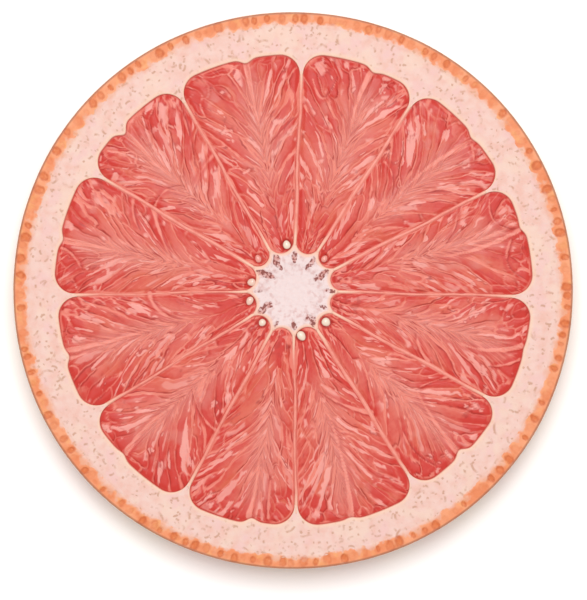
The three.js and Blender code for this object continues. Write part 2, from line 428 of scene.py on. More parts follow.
    def pith_edge(self, per_segment: int) -> Array:
        """Draw the pith's inner edge clockwise: the corners and lobes of each segment in turn.

        Args:
            per_segment: How many points each segment gets.

        Returns:
            The closed edge's points.
        """
        edge = []
        for index in range(len(self.segments)):
            first, second = (self.parts(index, side, 0) for side in (0, 1))
            out = np.concatenate([first["corner"], first["lobe"]])
            back = np.concatenate([second["corner"], second["lobe"]])[::-1]
            edge.append(evenly(np.concatenate([out, back]), per_segment - 1))
        return np.concatenate(edge)

    def core_edge(self, per_segment: int) -> Array:
        """Draw the core's star clockwise: the arc round each segment's tip in turn.

        Args:
            per_segment: How many points each segment gets.

        Returns:
            The closed edge's points.
        """
        edge = []
        for index in range(len(self.segments)):
            first, second = (self.parts(index, side, 0)["tip"] for side in (0, 1))
            edge.append(evenly(np.concatenate([first[::-1], second]), per_segment - 1))
        return np.concatenate(edge)


# ---------------------------------------------------------------- meshes


Surface = tuple[Array, dict[str, Array]]  # points in millimetres, and their tones by name


@dataclass
class Grid:
    """A grid of points in millimetres, with tones: numbers at each point that its finish reads by name."""

    points: Array
    wrap_rows: bool = False
    wrap_columns: bool = False
    tones: dict[str, Array] = field(default_factory=dict)

    def triangles(self) -> Array:
        """Split each cell of the grid into two triangles, by the numbers of its points.

        Returns:
            Three point numbers for each triangle.
        """
        rows, columns = self.points.shape[:2]
        numbers = np.arange(rows * columns).reshape(rows, columns)
        if self.wrap_rows:
            numbers = np.concatenate([numbers, numbers[:1]])
        if self.wrap_columns:
            numbers = np.concatenate([numbers, numbers[:, :1]], axis=1)
        a, b, c, d = numbers[:-1, :-1], numbers[:-1, 1:], numbers[1:, 1:], numbers[1:, :-1]
        return np.concatenate([np.stack(corners, -1).reshape(-1, 3) for corners in ((a, b, c), (a, c, d))])

    @classmethod
    def between(cls, shown: Surface, under: Surface, wrap_rows: bool, wrap_columns: bool) -> "Grid":
        """Join two cut faces, each given as points and tones: the rows of one run on along the other's.

        Args:
            shown: The upper cut face.
            under: The lower cut face.
            wrap_rows: Whether the last row joins the first.
            wrap_columns: Whether the last column joins the first.

        Returns:
            The grid that runs over both.
        """
        points = np.concatenate([shown[0], under[0][:, ::-1]], axis=1)
        tones = {name: np.concatenate([shown[1][name], under[1][name][:, ::-1]], axis=1) for name in shown[1]}
        return cls(points, wrap_rows, wrap_columns, tones)


class Piece:
    """A mesh made of closed grids, with its finish, riding on the slice and standing for its solid."""

    def __init__(self, name: str, grids: list[Grid], material: bpy.types.Material, slot: Slot) -> None:
        """Join the grids, weld the points that coincide and hand the mesh to the frame.

        Args:
            name: The piece's name.
            grids: The closed grids, all with the same tones.
            material: The finish.
            slot: The record's material slot, not used.
        """
        points = np.concatenate([grid.points.reshape(-1, 3) for grid in grids])
        starts = np.cumsum([0] + [grid.points.shape[0] * grid.points.shape[1] for grid in grids])
        faces = np.concatenate([self.outward(grid) + start for grid, start in zip(grids, starts)])
        keys = np.round(points * 1e4).astype(np.int64)
        _, first, same = np.unique(keys, axis=0, return_index=True, return_inverse=True)
        faces = same.reshape(-1)[faces]
        whole = (faces != np.roll(faces, 1, axis=1)).all(axis=1)
        faces = faces[whole]

        mesh = bpy.data.meshes.new(name)
        mesh.vertices.add(len(first))
        mesh.vertices.foreach_set("co", (points[first] * MM).astype(np.float32).ravel())
        mesh.loops.add(3 * len(faces))
        mesh.loops.foreach_set("vertex_index", faces.astype(np.int32).ravel())
        mesh.polygons.add(len(faces))
        mesh.polygons.foreach_set("loop_start", np.arange(0, 3 * len(faces), 3, dtype=np.int32))
        mesh.update(calc_edges=True)
        mesh.validate()
        mesh.shade_smooth()
        for tone in grids[0].tones:
            values = np.concatenate([grid.tones[tone].reshape(-1) for grid in grids])[first]
            mesh.attributes.new(tone, "FLOAT", "POINT").data.foreach_set("value", values.astype(np.float32))
        mesh.materials.append(material)

        self.object = bpy.data.objects.new(name, mesh)
        bpy.context.scene.collection.objects.link(self.object)
        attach(self.object, "root")
        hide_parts(NODE)
        log.info("%s: %d triangles", name, len(faces))

    @staticmethod
    def outward(grid: Grid) -> Array:
        """Turn a closed grid's triangles outwards: those of a solid span a positive volume together.

        Args:
            grid: The closed grid.

        Returns:
            Its triangles, all facing out.
        """
        faces, points = grid.triangles(), grid.points.reshape(-1, 3)
        a, b, c = (points[faces[:, corner]] for corner in range(3))
        volume = np.einsum("ij,ij->i", a, np.cross(b, c)).sum()
        return faces if volume > 0 else faces[:, ::-1]


# ---------------------------------------------------------------- finishes


def srgb(red: int, green: int, blue: int) -> tuple[float, float, float, float]:
    """Turn a colour as seen on a screen into the linear one that a shader takes.

    Args:
        red: The red part, from 0 to 255.
        green: The green part.
        blue: The blue part.

    Returns:
        Red, green, blue and an opacity of 1.
    """
    shares = np.array([red, green, blue]) / 255
    linear = np.where(shares <= 0.04045, shares / 12.92, ((shares + 0.055) / 1.055) ** 2.4)
    return (*(linear / LIGHT).tolist(), 1.0)


Node, Socket, Material = bpy.types.Node, bpy.types.NodeSocket, bpy.types.Material
Colour = tuple[float, ...]


class Graph:
    """A material's node tree, with one short call for each kind of node that the finishes use."""

    def __init__(self, name: str) -> None:
        """Start a material with only a Principled shader.

        Args:
            name: The material's name.
        """
        self.material = bpy.data.materials.new(name)
        self.material.use_nodes = True
        self.tree = self.material.node_tree
        self.shader = self.tree.nodes["Principled BSDF"]
        self.place = self.node("TexCoord").outputs["Object"]

    def node(self, kind: str, inputs: dict[str | int, object] | None = None, **settings: object) -> Node:
        """Add a node, with its own settings by name and its inputs by name or number.

        Args:
            kind: The node's type, without the ShaderNode that all of them begin with.
            inputs: Sockets or plain values for its inputs.
            settings: Its own settings.

        Returns:
            The node.
        """
        added = self.tree.nodes.new(f"ShaderNode{kind}")
        for name, value in settings.items():
            setattr(added, name, value)
        for name, value in (inputs or {}).items():
            self.feed(added.inputs[name], value)
        return added

    def feed(self, socket: Socket, value: object) -> None:
        """Link another node's output to a socket, or set the socket to a plain value.

        Args:
            socket: The input to feed.
            value: A node's output or a plain value.
        """
        if isinstance(value, Socket):
            self.tree.links.new(value, socket)
        else:
            socket.default_value = value

    def tone(self, name: str) -> Socket:
        """Read one of the mesh's tones."""
        return self.node("Attribute", attribute_name=name).outputs["Fac"]

    def math(self, operation: str, *values: object) -> Socket:
        """Work out a Math node's operation on sockets or numbers."""
        return self.node("Math", dict(enumerate(values)), operation=operation).outputs[0]

    def times(self, first: object, second: object) -> Socket:
        """Multiply two sockets or numbers."""
        return self.math("MULTIPLY", first, second)

    def sway(self, noise: object, reach: float, base: object = None) -> Socket:
        """Make noise from 0 to 1 go from -reach / 2 to reach / 2, and add it to a base."""
        centred = self.math("MULTIPLY_ADD", noise, reach, -reach / 2)
        return centred if base is None else self.math("ADD", base, centred)

    def span(self, value: object, low: float, high: float, start: float = 0.0, end: float = 1.0) -> object:
        """Map a value from low..high to start..end with a smooth, clamped step."""
        inputs = dict(enumerate((value, low, high, start, end)))
        return self.node("MapRange", inputs, interpolation_type="SMOOTHSTEP").outputs[0]

    def noise(self, size: float, detail: float = 2.0, vector: object = None, seed: float = 0.0) -> object:
        """Give noise from 0 to 1 whose lumps are size millimetres across.

        Args:
            size: The lumps' size in millimetres.
            detail: How many finer layers are added.
            vector: Where to read it, or None for the mesh's own place.
            seed: What tells this noise from the others.

        Returns:
            The noise.
        """
        place = self.place if vector is None else vector
        inputs = {"Vector": place, "Scale": 1 / (size * MM), "Detail": detail, "W": seed}
        return self.node("TexNoise", inputs, noise_dimensions="4D").outputs["Fac"]

    def clouds(self, size: float, detail: float, seed: float, *limits: float) -> Socket:
        """Give noise with its middle part spread out, between the limits that span takes."""
        return self.span(self.noise(size, detail, seed=seed), *limits)

    def dashes(self, pitch: float, kept: float, reach: float, width: float) -> Socket:
        """Draw short curved dashes, at most one in each cell of a Voronoi texture, each turned its own way.

        A dash is a stretch of the parabola y = 0.3 (reach / width) x^2 round its cell's point, with x counted
        in reaches and y in widths. The cell's random colour gives its turn and length, and if it is there.

        Args:
            pitch: The cells' size in millimetres.
            kept: The share of the cells that hold a dash.
            reach: The longest dash's half length in millimetres.
            width: The dashes' half width in millimetres.

        Returns:
            The mask, 1 on a dash.
        """
        where = {"Vector": self.place, "Scale": 1 / (pitch * MM)}
        cells = self.node("TexVoronoi", where, voronoi_dimensions="2D")
        ends = {0: self.place, 1: cells.outputs["Position"]}
        away = self.node("VectorMath", ends, operation="SUBTRACT")
        draw = self.node("SeparateXYZ", {0: cells.outputs["Color"]})
        turn = {"Vector": away.outputs[0], "Angle": self.times(draw.outputs[0], FULL_TURN)}
        turned = self.node("VectorRotate", turn, rotation_type="Z_AXIS")
        local = self.node("SeparateXYZ", {0: turned.outputs[0]})
        along = self.math("DIVIDE", local.outputs[0], reach * MM)
        length = self.math("MULTIPLY_ADD", draw.outputs[1], 0.85, 0.15)
        ends = self.span(self.math("SUBTRACT", self.math("ABSOLUTE", along), length), 0.12, -0.12)
        arc = self.times(self.times(along, along), 0.3 * reach / width)
        across = self.math("DIVIDE", local.outputs[1], width * MM)
        beside = self.math("ABSOLUTE", self.math("SUBTRACT", across, arc))
        present = self.math("LESS_THAN", draw.outputs[2], kept)
        return self.times(self.times(ends, self.span(beside, 1.4, 0.3)), present)

    def radius(self) -> Socket:
        """Give the distance from the slice's axis, in millimetres.

        Returns:
            The distance.
        """
        scaled = {0: self.place, 1: (1 / MM, 1 / MM, 0)}
        flat = self.node("VectorMath", scaled, operation="MULTIPLY")
        return self.node("VectorMath", {0: flat.outputs[0]}, operation="LENGTH").outputs["Value"]

    def mix(self, factor: object, first: object, second: object) -> Socket:
        """Blend two colours by a factor from 0 to 1."""
        inputs = {"Factor": factor, 6: first, 7: second}
        return self.node("Mix", inputs, data_type="RGBA").outputs[2]

    def lay(self, colour: object, ink: object, mask: object, strength: object) -> Socket:
        """Lay an ink over a colour where a mask is 1, as strongly as a number or another mask says."""
        return self.mix(self.times(mask, strength), colour, ink)

    def bump(self, height: object, distance: float, strength: float = 1.0) -> Socket:
        """Tilt the surface by a height from 0 to 1 that stands for distance millimetres."""
        inputs = {"Height": height, "Distance": distance * MM, "Strength": strength}
        return self.node("Bump", inputs).outputs["Normal"]

    def shade(self, **sockets: object) -> Material:
        """Feed the shader's sockets, named with _ for a space, and return the material.

        Args:
            sockets: Sockets, colours or numbers by the names of the shader's sockets, with _ for a space.

        Returns:
            The finished material.
        """
        for name, value in sockets.items():
            self.feed(self.shader.inputs[name.replace("_", " ")], value)
        return self.material


@dataclass(frozen=True)
class Light:
    """How light meets a moist surface: its gloss, and how much light sinks in and how far.

    glow is the share that sinks in, green and blue are how far those colours go as shares of red's way, and
    depth is red's way in millimetres.
    """

    gloss: float
    glow: float
    green: float
    blue: float
    depth: float = 0.8

    def shade(self, graph: Graph, **sockets: object) -> Material:
        """Feed these and the other sockets of a graph's shader, and return the material.

        Args:
            graph: The finish's graph.
            sockets: Sockets, colours or numbers by the names of the shader's sockets, with _ for a space.

        Returns:
            The finished material.
        """
        return graph.shade(
            Specular_IOR_Level=self.gloss,
            Subsurface_Weight=self.glow,
            Subsurface_Radius=(1.0, self.green, self.blue),
            Subsurface_Scale=self.depth * MM,
            **sockets,
        )


@dataclass(frozen=True)
class PulpFinish:
    """Wet juice sacs: coral flesh that deepens in places, pale sac walls, painted shade in dark lines and
    painted pink highlights.
    """

    deep: Colour = srgb(217, 66, 57)
    flesh: Colour = srgb(232, 114, 98)
    ember: Colour = srgb(227, 104, 78)
    dusty: Colour = srgb(230, 148, 136)
    # painted highlight: pale pink glints on glassy facets, skins, shards, bubbles, folds and the vein
    gleam: Colour = srgb(255, 176, 164)
    wall: Colour = srgb(252, 150, 132)
    # painted shade: the dark lines beside skins and folds, round shards and seeds, and along the rim
    groove: Colour = srgb(174, 48, 42)
    light: Light = Light(0.24, 0.12, 0.35, 0.25, 0.7)
    juice_ior: float = 1.38
    streak_stretch: float = 0.12

    def material(self) -> Material:
        """Build the material. Its colours are laid over each other by the pulp's tones and fine streaks.

        Returns:
            The finished material.
        """
        graph = Graph("wet_pulp")
        across = graph.times(graph.tone("across"), MM)
        along = graph.times(graph.tone("along"), self.streak_stretch * MM)
        flow = graph.node("CombineXYZ", {0: across, 1: along}).outputs[0]
        streaks = graph.noise(0.55, 3.0, flow)
        mottle = graph.noise(1.6, 2.0)
        tint = graph.sway(mottle, 0.7, graph.tone("tint"))
        tint = graph.sway(graph.noise(0.7, 3.0, seed=4.0), 0.6, tint)
        tint = graph.sway(streaks, 0.4, tint)
        flesh = graph.mix(graph.clouds(7.0, 3.0, 9.0, 0.46, 0.64, 0.0, 0.8), self.flesh, self.ember)
        colour = graph.mix(graph.span(tint, 0.0, 1.0), self.deep, flesh)
        colour = graph.lay(colour, self.dusty, graph.tone("dust"), 0.65)
        # fine dark and pale hair lines along the sacs, in the painted shade's ink and the walls' ink
        brushed = ((6.0, 0.47, 0.025, 0.45, self.groove), (3.0, 0.5, 0.05, 0.65, self.wall))
        for seed, middle, width, strength, ink in brushed:
            lines = graph.math("SUBTRACT", graph.noise(1.7, 1.0, flow, seed), middle)
            lines = graph.span(graph.math("ABSOLUTE", lines), width, 0.2 * width, 0.0, strength)
            colour = graph.lay(colour, ink, lines, graph.tone("brush"))
        # lay the painted highlights, the pale walls and the painted shade over the flesh
        laid = (("gleam", 0.85, self.gleam), ("wall", 0.75, self.wall), ("groove", 0.8, self.groove))
        for tone, strength, ink in laid:
            colour = graph.lay(colour, ink, graph.tone(tone), strength)
        roughness = graph.span(mottle, 0.3, 0.7, 0.3, 0.42)
        normal = graph.bump(streaks, 0.03, 0.4)
        sockets = {"Base_Color": colour, "Roughness": roughness, "IOR": self.juice_ior, "Normal": normal}
        return self.light.shade(graph, **sockets)


@dataclass(frozen=True)
class PithFinish:
    """Spongy pith: pale pink with short brown dashes, creamier where it meets the pulp, with painted shade at
    its edge.
    """

    body: Colour = srgb(250, 212, 200)
    blush: Colour = srgb(246, 194, 178)
    cream: Colour = srgb(255, 214, 188)
    straw: Colour = srgb(251, 217, 198)
    rose: Colour = srgb(249, 203, 197)
    fleck: Colour = srgb(212, 160, 134)
    skin: Colour = srgb(244, 162, 118)
    # painted shade: a coral line down the lip where the pith meets the pulp, over that crevice's real shade
    lip: Colour = srgb(234, 136, 114)
    light: Light = Light(0.3, 0.1, 0.6, 0.5)
    skin_reach: tuple[float, float] = (49.4, 51.4)  # the radii between which the rind's orange comes in

    def colour(self, graph: Graph) -> Socket:
        """Lay the colours over each other: clouds, brown dashes of three sizes and the rind's orange.

        Args:
            graph: The finish's graph.

        Returns:
            The colour.
        """
        colour = graph.mix(graph.clouds(2.0, 4.0, 0.0, 0.33, 0.74), self.body, self.blush)
        colour = graph.mix(graph.clouds(4.5, 3.0, 5.0, 0.5, 0.62, 0.0, 0.6), colour, self.straw)
        colour = graph.mix(graph.clouds(4.0, 3.0, 7.0, 0.52, 0.64, 0.0, 0.7), colour, self.rose)
        dashes = graph.dashes(2.0, 0.8, 0.7, 0.23)
        for sizes in ((1.3, 0.5, 0.26, 0.24), (3.7, 0.6, 1.2, 0.26)):
            dashes = graph.math("MAXIMUM", dashes, graph.dashes(*sizes))
        colour = graph.lay(colour, self.fleck, dashes, graph.clouds(1.2, 3.0, 4.0, 0.36, 0.62, 0.1, 0.85))
        ragged = graph.math("ADD", graph.radius(), graph.sway(graph.noise(1.7, 2.0, seed=2.0), -2.4))
        return graph.mix(graph.span(ragged, *self.skin_reach, 0.0, 0.8), colour, self.skin)

    def material(self) -> Material:
        """Build the material. The tone edge is the distance from the pulp in millimetres.

        Returns:
            The finished material.
        """
        graph = Graph("spongy_pith")
        colour = self.colour(graph)
        colour = graph.mix(graph.span(graph.tone("edge"), 1.1, 0.3, 0.0, 0.8), colour, self.cream)
        # painted shade along the crevice at the pulp's edge
        colour = graph.mix(graph.span(graph.tone("edge"), 0.22, 0.02, 0.0, 0.9), colour, self.lip)
        normal = graph.bump(graph.noise(0.45, 3.0), 0.1, 0.5)
        return self.light.shade(graph, Base_Color=colour, Roughness=0.62, Normal=normal)


@dataclass(frozen=True)
class RindFinish:
    """Waxy orange rind with darker oil glands, fading into the pith on the cut faces, with painted shade along
    the knife edge.
    """

    skin: Colour = srgb(253, 166, 118)
    blush: Colour = srgb(246, 144, 92)
    amber: Colour = srgb(253, 178, 110)
    gland: Colour = srgb(226, 108, 34)
    ring: Colour = srgb(198, 84, 32)
    # painted shade: the dark line along the knife edge on the cut faces
    edge: Colour = srgb(160, 104, 80)
    yellow: Colour = srgb(255, 200, 128)
    rosy: Colour = srgb(252, 164, 116)
    pith: PithFinish = PithFinish()
    light: Light = Light(0.4, 0.08, 0.5, 0.25)
    orange_reach: tuple[float, float] = (1.35, 2.2)  # how deep inside the skin the pith's colours come in
    raggedness: float = 7.0

    def material(self) -> Material:
        """Build the material. The tone peel is how far inside the orange a point lies, in millimetres.

        Returns:
            The finished material.
        """
        graph = Graph("waxy_rind")
        skin = graph.mix(graph.clouds(3.2, 4.0, 0.0, 0.36, 0.62), self.skin, self.blush)
        skin = graph.mix(graph.clouds(2.4, 2.0, 6.0, 0.52, 0.66, 0.0, 0.5), skin, self.amber)
        ragged = graph.sway(graph.noise(1.9, 4.0, seed=2.0), self.raggedness)
        inside = graph.span(graph.math("ADD", graph.tone("peel"), ragged), *self.orange_reach)
        colour = graph.mix(inside, skin, self.pith.colour(graph))
        outside = graph.mix(graph.clouds(14.0, 3.0, 8.0, 0.35, 0.65), self.yellow, self.rosy)
        colour = graph.mix(graph.tone("side"), colour, outside)
        strength = graph.clouds(0.7, 2.0, 5.0, 0.3, 0.6, 0.6, 1.0)
        # the tone rim lays the knife edge's painted shade
        laid = (("gland", strength, self.gland), ("ring", strength, self.ring), ("rim", 0.65, self.edge))
        for tone, power, ink in laid:
            colour = graph.lay(colour, ink, graph.tone(tone), power)
        roughness = graph.span(graph.tone("depth"), 0.0, 0.5, 0.36, 0.55)
        normal = graph.bump(graph.noise(0.5, 3.0), 0.06, 0.5)
        return self.light.shade(graph, Base_Color=colour, Roughness=roughness, Normal=normal)


@dataclass(frozen=True)
class MembraneFinish:
    """Thin walls between the segments: cream by the pith and the core, tinted by the pulp in between."""

    cream: Colour = srgb(255, 202, 176)
    tinted: Colour = srgb(248, 150, 132)
    mottle: Colour = srgb(240, 128, 110)
    light: Light = Light(0.4, 0.1, 0.5, 0.4, 0.5)
    pith_reach: tuple[float, float] = (36.0, 42.0)  # the radii between which the cream comes in outwards
    core_reach: tuple[float, float] = (14.0, 9.0)  # and the radii between which it does inwards

    def material(self) -> Material:
        """Build the material: the tint comes and goes with the distance from the slice's axis.

        Returns:
            The finished material.
        """
        graph = Graph("thin_membrane")
        radius = graph.radius()
        ends = [graph.span(radius, *reach) for reach in (self.pith_reach, self.core_reach)]
        colour = graph.mix(graph.clouds(1.4, 2.0, 0.0, 0.42, 0.72, 0.0, 0.8), self.tinted, self.mottle)
        colour = graph.mix(graph.math("MAXIMUM", *ends), colour, self.cream)
        normal = graph.bump(graph.noise(0.3, 2.0), 0.05, 0.5)
        return self.light.shade(graph, Base_Color=colour, Roughness=0.38, Normal=normal)


@dataclass(frozen=True)
class CoreFinish:
    """White sponge: a peach lining and painted shade round the segments' tips, and brown specks in the star's
    arms.
    """

    body: Colour = srgb(247, 223, 220)
    hollow: Colour = srgb(230, 192, 188)
    lining: Colour = srgb(254, 206, 184)
    specks: Colour = srgb(140, 62, 52)
    pink: Colour = srgb(216, 134, 122)
    # painted shade: a coral line along the star's edge, where it drops into the crevice by the pulp
    lip: Colour = srgb(236, 142, 120)
    light: Light = Light(0.3, 0.1, 0.7, 0.6)

    def material(self) -> Material:
        """Build the material. The tone lining is 1 along the edge, and veins is 1 in the arms' clusters.

        Returns:
            The finished material.
        """
        graph = Graph("core_sponge")
        patches = graph.times(graph.clouds(0.9, 4.0, 0.0, 0.46, 0.68), graph.tone("mottle"))
        colour = graph.mix(patches, self.body, self.hollow)
        colour = graph.mix(graph.tone("lining"), colour, self.lining)
        # painted shade along the star's edge
        colour = graph.lay(colour, self.lip, graph.tone("lip"), 0.9)
        cluster = graph.tone("veins")
        blotchy = graph.clouds(0.8, 2.0, 3.0, 0.35, 0.6, 0.45, 1.0)
        colour = graph.lay(colour, self.pink, graph.span(cluster, 0.1, 0.9, 0.0, 0.8), blotchy)
        marks = graph.times(graph.clouds(0.5, 2.0, 7.0, 0.46, 0.56), graph.span(cluster, 0.05, 0.5))
        colour = graph.lay(colour, self.specks, marks, 0.9)
        normal = graph.bump(graph.noise(0.5, 3.0), 0.12, 0.5)
        return self.light.shade(graph, Base_Color=colour, Roughness=0.55, Normal=normal)


@dataclass(frozen=True)
class SeedFinish:
    """Smooth ivory seed coat; the least developed seeds are nearly the colour of the pulp."""

    ivory: Colour = srgb(253, 230, 208)
    pulp: Colour = srgb(246, 156, 142)

    def material(self) -> Material:
        """Build the material. The tone paleness is how far a seed has developed.

        Returns:
            The finished material.
        """
        graph = Graph("seed_coat")
        mottled = graph.sway(graph.noise(0.6, 2.0), 0.3)
        paleness = graph.math("ADD", graph.tone("paleness"), mottled)
        colour = graph.mix(graph.span(paleness, 0.0, 1.0), self.pulp, self.ivory)
        return graph.shade(Base_Color=colour, Roughness=0.3, Specular_IOR_Level=0.45, Coat_Weight=0.2)


# ---------------------------------------------------------------- the pieces


def face_relief(points: Array, face: Face) -> Array:
    """Give the knife-cut sponge's unevenness in millimetres: coarse and fine noise below the cut's plane."""
    seed = 20 + face.value
    return -0.05 + 0.03 * noise(points, 3.5, seed, 2) + 0.035 * noise(points, 0.8, seed + 5, 2)


def rounded(away: Array, radius: float) -> Array:
    """Give a quarter-round edge's drop at a distance from it: r (1 - sqrt(1 - t^2)) with t = 1 - away / r."""
    share = np.clip(1 - away / radius, 0, 1)
    return radius * (1 - np.sqrt(1 - share * share))


def on_face(flat: Array, below: Array, face: Face, thickness: float) -> Array:
    """Give points their height: they lie a number of millimetres inside a cut face's plane."""
    height = thickness - below if face is Face.SHOWN else below
    return np.concatenate([flat, height[..., None]], axis=-1)


@dataclass
class Rind:
    """The outer skin: a closed ring with pores on its side and a band on each cut face where glands show."""

    plan: SlicePlan
    steps: int = 1440
    side_points: int = 26
    band: float = 3.2
    band_rows: int = 17
    knife_edge: float = 0.3
    pore_pitch: float = 1.25
    pore_depth: float = 0.1
    lump_height: float = 0.05
    gland_pitch: float = 1.65
    gland_count: int = 138
    gland_depth: float = 0.12
    rim_reach: tuple[float, float] = (5.4, 5.75)  # how far from the middle plane the dark line of painted shade along the knife edge begins
    other_face: int = 50  # how many pitches apart the two faces' glands are drawn
    tuck: float = 0.12  # how far the band's inner edge dips under the pith

    def profile(self) -> Array:
        """Draw the skin's section as radius and height, from the upper cut face round to the lower one.

        The side is part of the fruit's sphere, and a quarter circle rounds each knife edge.

        Returns:
            An array of radius and height.
        """
        half = self.plan.thickness / 2
        top = self.plan.thickness - self.knife_edge
        height = np.linspace(top, self.knife_edge, self.side_points)
        side = np.stack([np.sqrt(self.plan.fruit_radius**2 - (height - half) ** 2), height], axis=-1)
        cut = side[0, 0] - self.knife_edge
        turn = np.linspace(np.pi / 2, 0, 5)[:-1]
        edge = np.stack([cut + self.knife_edge * np.cos(turn), top + self.knife_edge * np.sin(turn)], axis=-1)
        inward = np.linspace(self.band, 0.0, self.band_rows + 1)[:-1]
        upper = np.stack([cut - inward, np.full(len(inward), self.plan.thickness)], axis=-1)
        above = np.concatenate([upper, edge])
        below = above[::-1] * [1, -1] + [0, self.plan.thickness]
        return np.concatenate([above, side, below])

    def unroll(self, angle: Array, other: Array, pitch: float, count: int) -> Array:
        """Lay the ring out flat, count pitches long, with another coordinate across it."""
        return np.stack([-angle / (2 * np.pi) * count * pitch + 0 * other, other], axis=-1)

    def gland_row(self, angle: Array, depth: Array, height: Array) -> dict[str, Array]:
        """Cut one uneven row of large oil glands, each with a seeded place, depth, size and strength.

        A point's distance from a gland is counted in the gland's own two radii, so a gland is an oval, longer
        inwards than along the rim. Only the gland of a point's own share of the rim and its neighbours count.

        Args:
            angle: The points' angles, falling as they go round.
            depth: How far inside the skin the points lie, in millimetres.
            height: The points' heights, which tell the two cut faces apart.

        Returns:
            How deep in a gland's fill, ring and halo each point is, from 0 to 1.
        """
        around = -angle / (2 * np.pi) * self.gland_count + 0 * depth
        pitch = 2 * np.pi * self.plan.fruit_radius / self.gland_count
        other = np.where(height > self.plan.thickness / 2, 0, 1)
        cell = np.floor(around).astype(np.int64)
        wobble = 0.28 * noise(polar(self.plan.fruit_radius - depth, angle), 0.7, 15, 2)
        tones = {name: np.zeros(depth.shape) for name in ("fill", "ring", "halo")}
        for step in (-1, 0, 1):
            key = np.stack([(cell + step) % self.gland_count, other], axis=-1)
            slide, sink, size, power = (lattice_random(key, seed) for seed in (41, 42, 43, 44))
            along = (around - cell - step - 0.25 - 0.5 * slide) * pitch / (0.42 + 0.42 * size)
            inward = (depth - 0.85 - 0.55 * sink) / (0.6 + 0.45 * size)
            away = np.hypot(along, inward) + wobble
            power = 0.25 + 0.75 * smoothstep(0.2, 0.7, power)
            drawn = {
                "fill": power * smoothstep(1.15, 0.75, away),
                "ring": power * (smoothstep(0.45, 0.85, away) * smoothstep(1.25, 1.0, away)),
                "halo": smoothstep(2.0, 1.0, away),
            }
            tones = {name: np.maximum(tones[name], drawn[name]) for name in tones}
        return tones

    def small_glands(self, flat: Array, angle: Array, depth: Array, face: Array) -> Array:
        """Scatter small oil glands over the band, fewer and fainter inwards.

        Args:
            flat: The points seen from above.
            angle: Their angles.
            depth: How far inside the skin they lie, in millimetres.
            face: 1 in the slice's upper half and -1 in its lower half.

        Returns:
            How deep in a gland each point is, from 0 to 1.
        """
        count = int(2 * np.pi * self.plan.fruit_radius / self.gland_pitch * 0.8)
        across = depth + np.where(face > 0, 0, self.other_face) * self.gland_pitch
        unrolled = self.unroll(angle, across, self.gland_pitch, count)
        near, weight = spots(unrolled, self.gland_pitch, 11, wrap=count)
        shown = (0.5 + 0.5 * smoothstep(0.5, 0.8, weight)) * smoothstep(2.5, 2.0, depth + 0.5 * weight)
        near = (near + 0.12 * noise(flat, 0.6, 13, 2)) / (0.55 + 0.75 * ((7 * weight) % 1))
        return smoothstep(0.72, 0.4, near) * shown

    def pores(self, angle: Array, height: Array) -> Array:
        """Scatter pores over the side and give how deep in one each point is, from 0 to 1.

        Args:
            angle: The points' angles.
            height: Their heights.

        Returns:
            How deep in a pore each point is, from 0 to 1.
        """
        count = int(2 * np.pi * self.plan.fruit_radius / self.pore_pitch)
        away, _ = spots(self.unroll(angle, height, self.pore_pitch, count), self.pore_pitch, 3, wrap=count)
        return smoothstep(0.55, 0.1, away)

    def build(self) -> Piece:
        """Carry the section round the fruit, dent it with pores and glands and close it inside.

        Returns:
            The rind's piece.
        """
        section = self.profile()
        angle = -np.linspace(0, 2 * np.pi, self.steps, endpoint=False)[:, None]
        radius = section[:, 0] + self.plan.rim_wave(angle)
        height = np.broadcast_to(section[:, 1], radius.shape)
        half = self.plan.thickness / 2
        towards = np.where(height > half, 1.0, -1.0)
        depth = np.sqrt(self.plan.fruit_radius**2 - (height - half) ** 2) + self.plan.rim_wave(angle) - radius
        on_cut = smoothstep(half - 0.5, half - 0.05, np.abs(height - half))
        flat = polar(radius, angle)
        lumps = noise(np.concatenate([flat, height[..., None]], axis=-1), 7.0, 9, 2)
        pore = self.pores(angle, height) * (1 - on_cut)
        small = self.small_glands(flat, angle, depth, towards) * on_cut
        row = self.gland_row(angle, depth, height)
        gland = np.maximum(0.4 * small, 0.85 * row["fill"] * on_cut)

        radius = radius - pore * self.pore_depth + self.lump_height * lumps * (1 - on_cut)
        inner = smoothstep(self.band, self.band - 0.8, depth)
        drop = -self.gland_depth * gland - self.tuck * (1 - inner)
        relief = np.where(towards > 0, face_relief(flat, Face.SHOWN), face_relief(flat, Face.UNDER))
        height = height + towards * on_cut * np.minimum(drop + relief + 0.04, 0.0)
        points = np.concatenate([polar(radius, angle), height[..., None]], axis=-1)
        by_knife = smoothstep(*self.rim_reach, np.abs(height - half))
        tones = {
            "depth": depth,
            "peel": depth - 0.75 * row["halo"],
            "gland": gland + 0.35 * pore,
            "ring": 0.5 * row["ring"] * on_cut,
            # rim: where the painted shade runs along the knife edge
            "rim": smoothstep(0.45, 0.2, depth) * by_knife,
            "side": 1 - on_cut,
        }
        return Piece("rind", [Grid(points, True, True, tones)], RindFinish().material(), Slot.RIND)


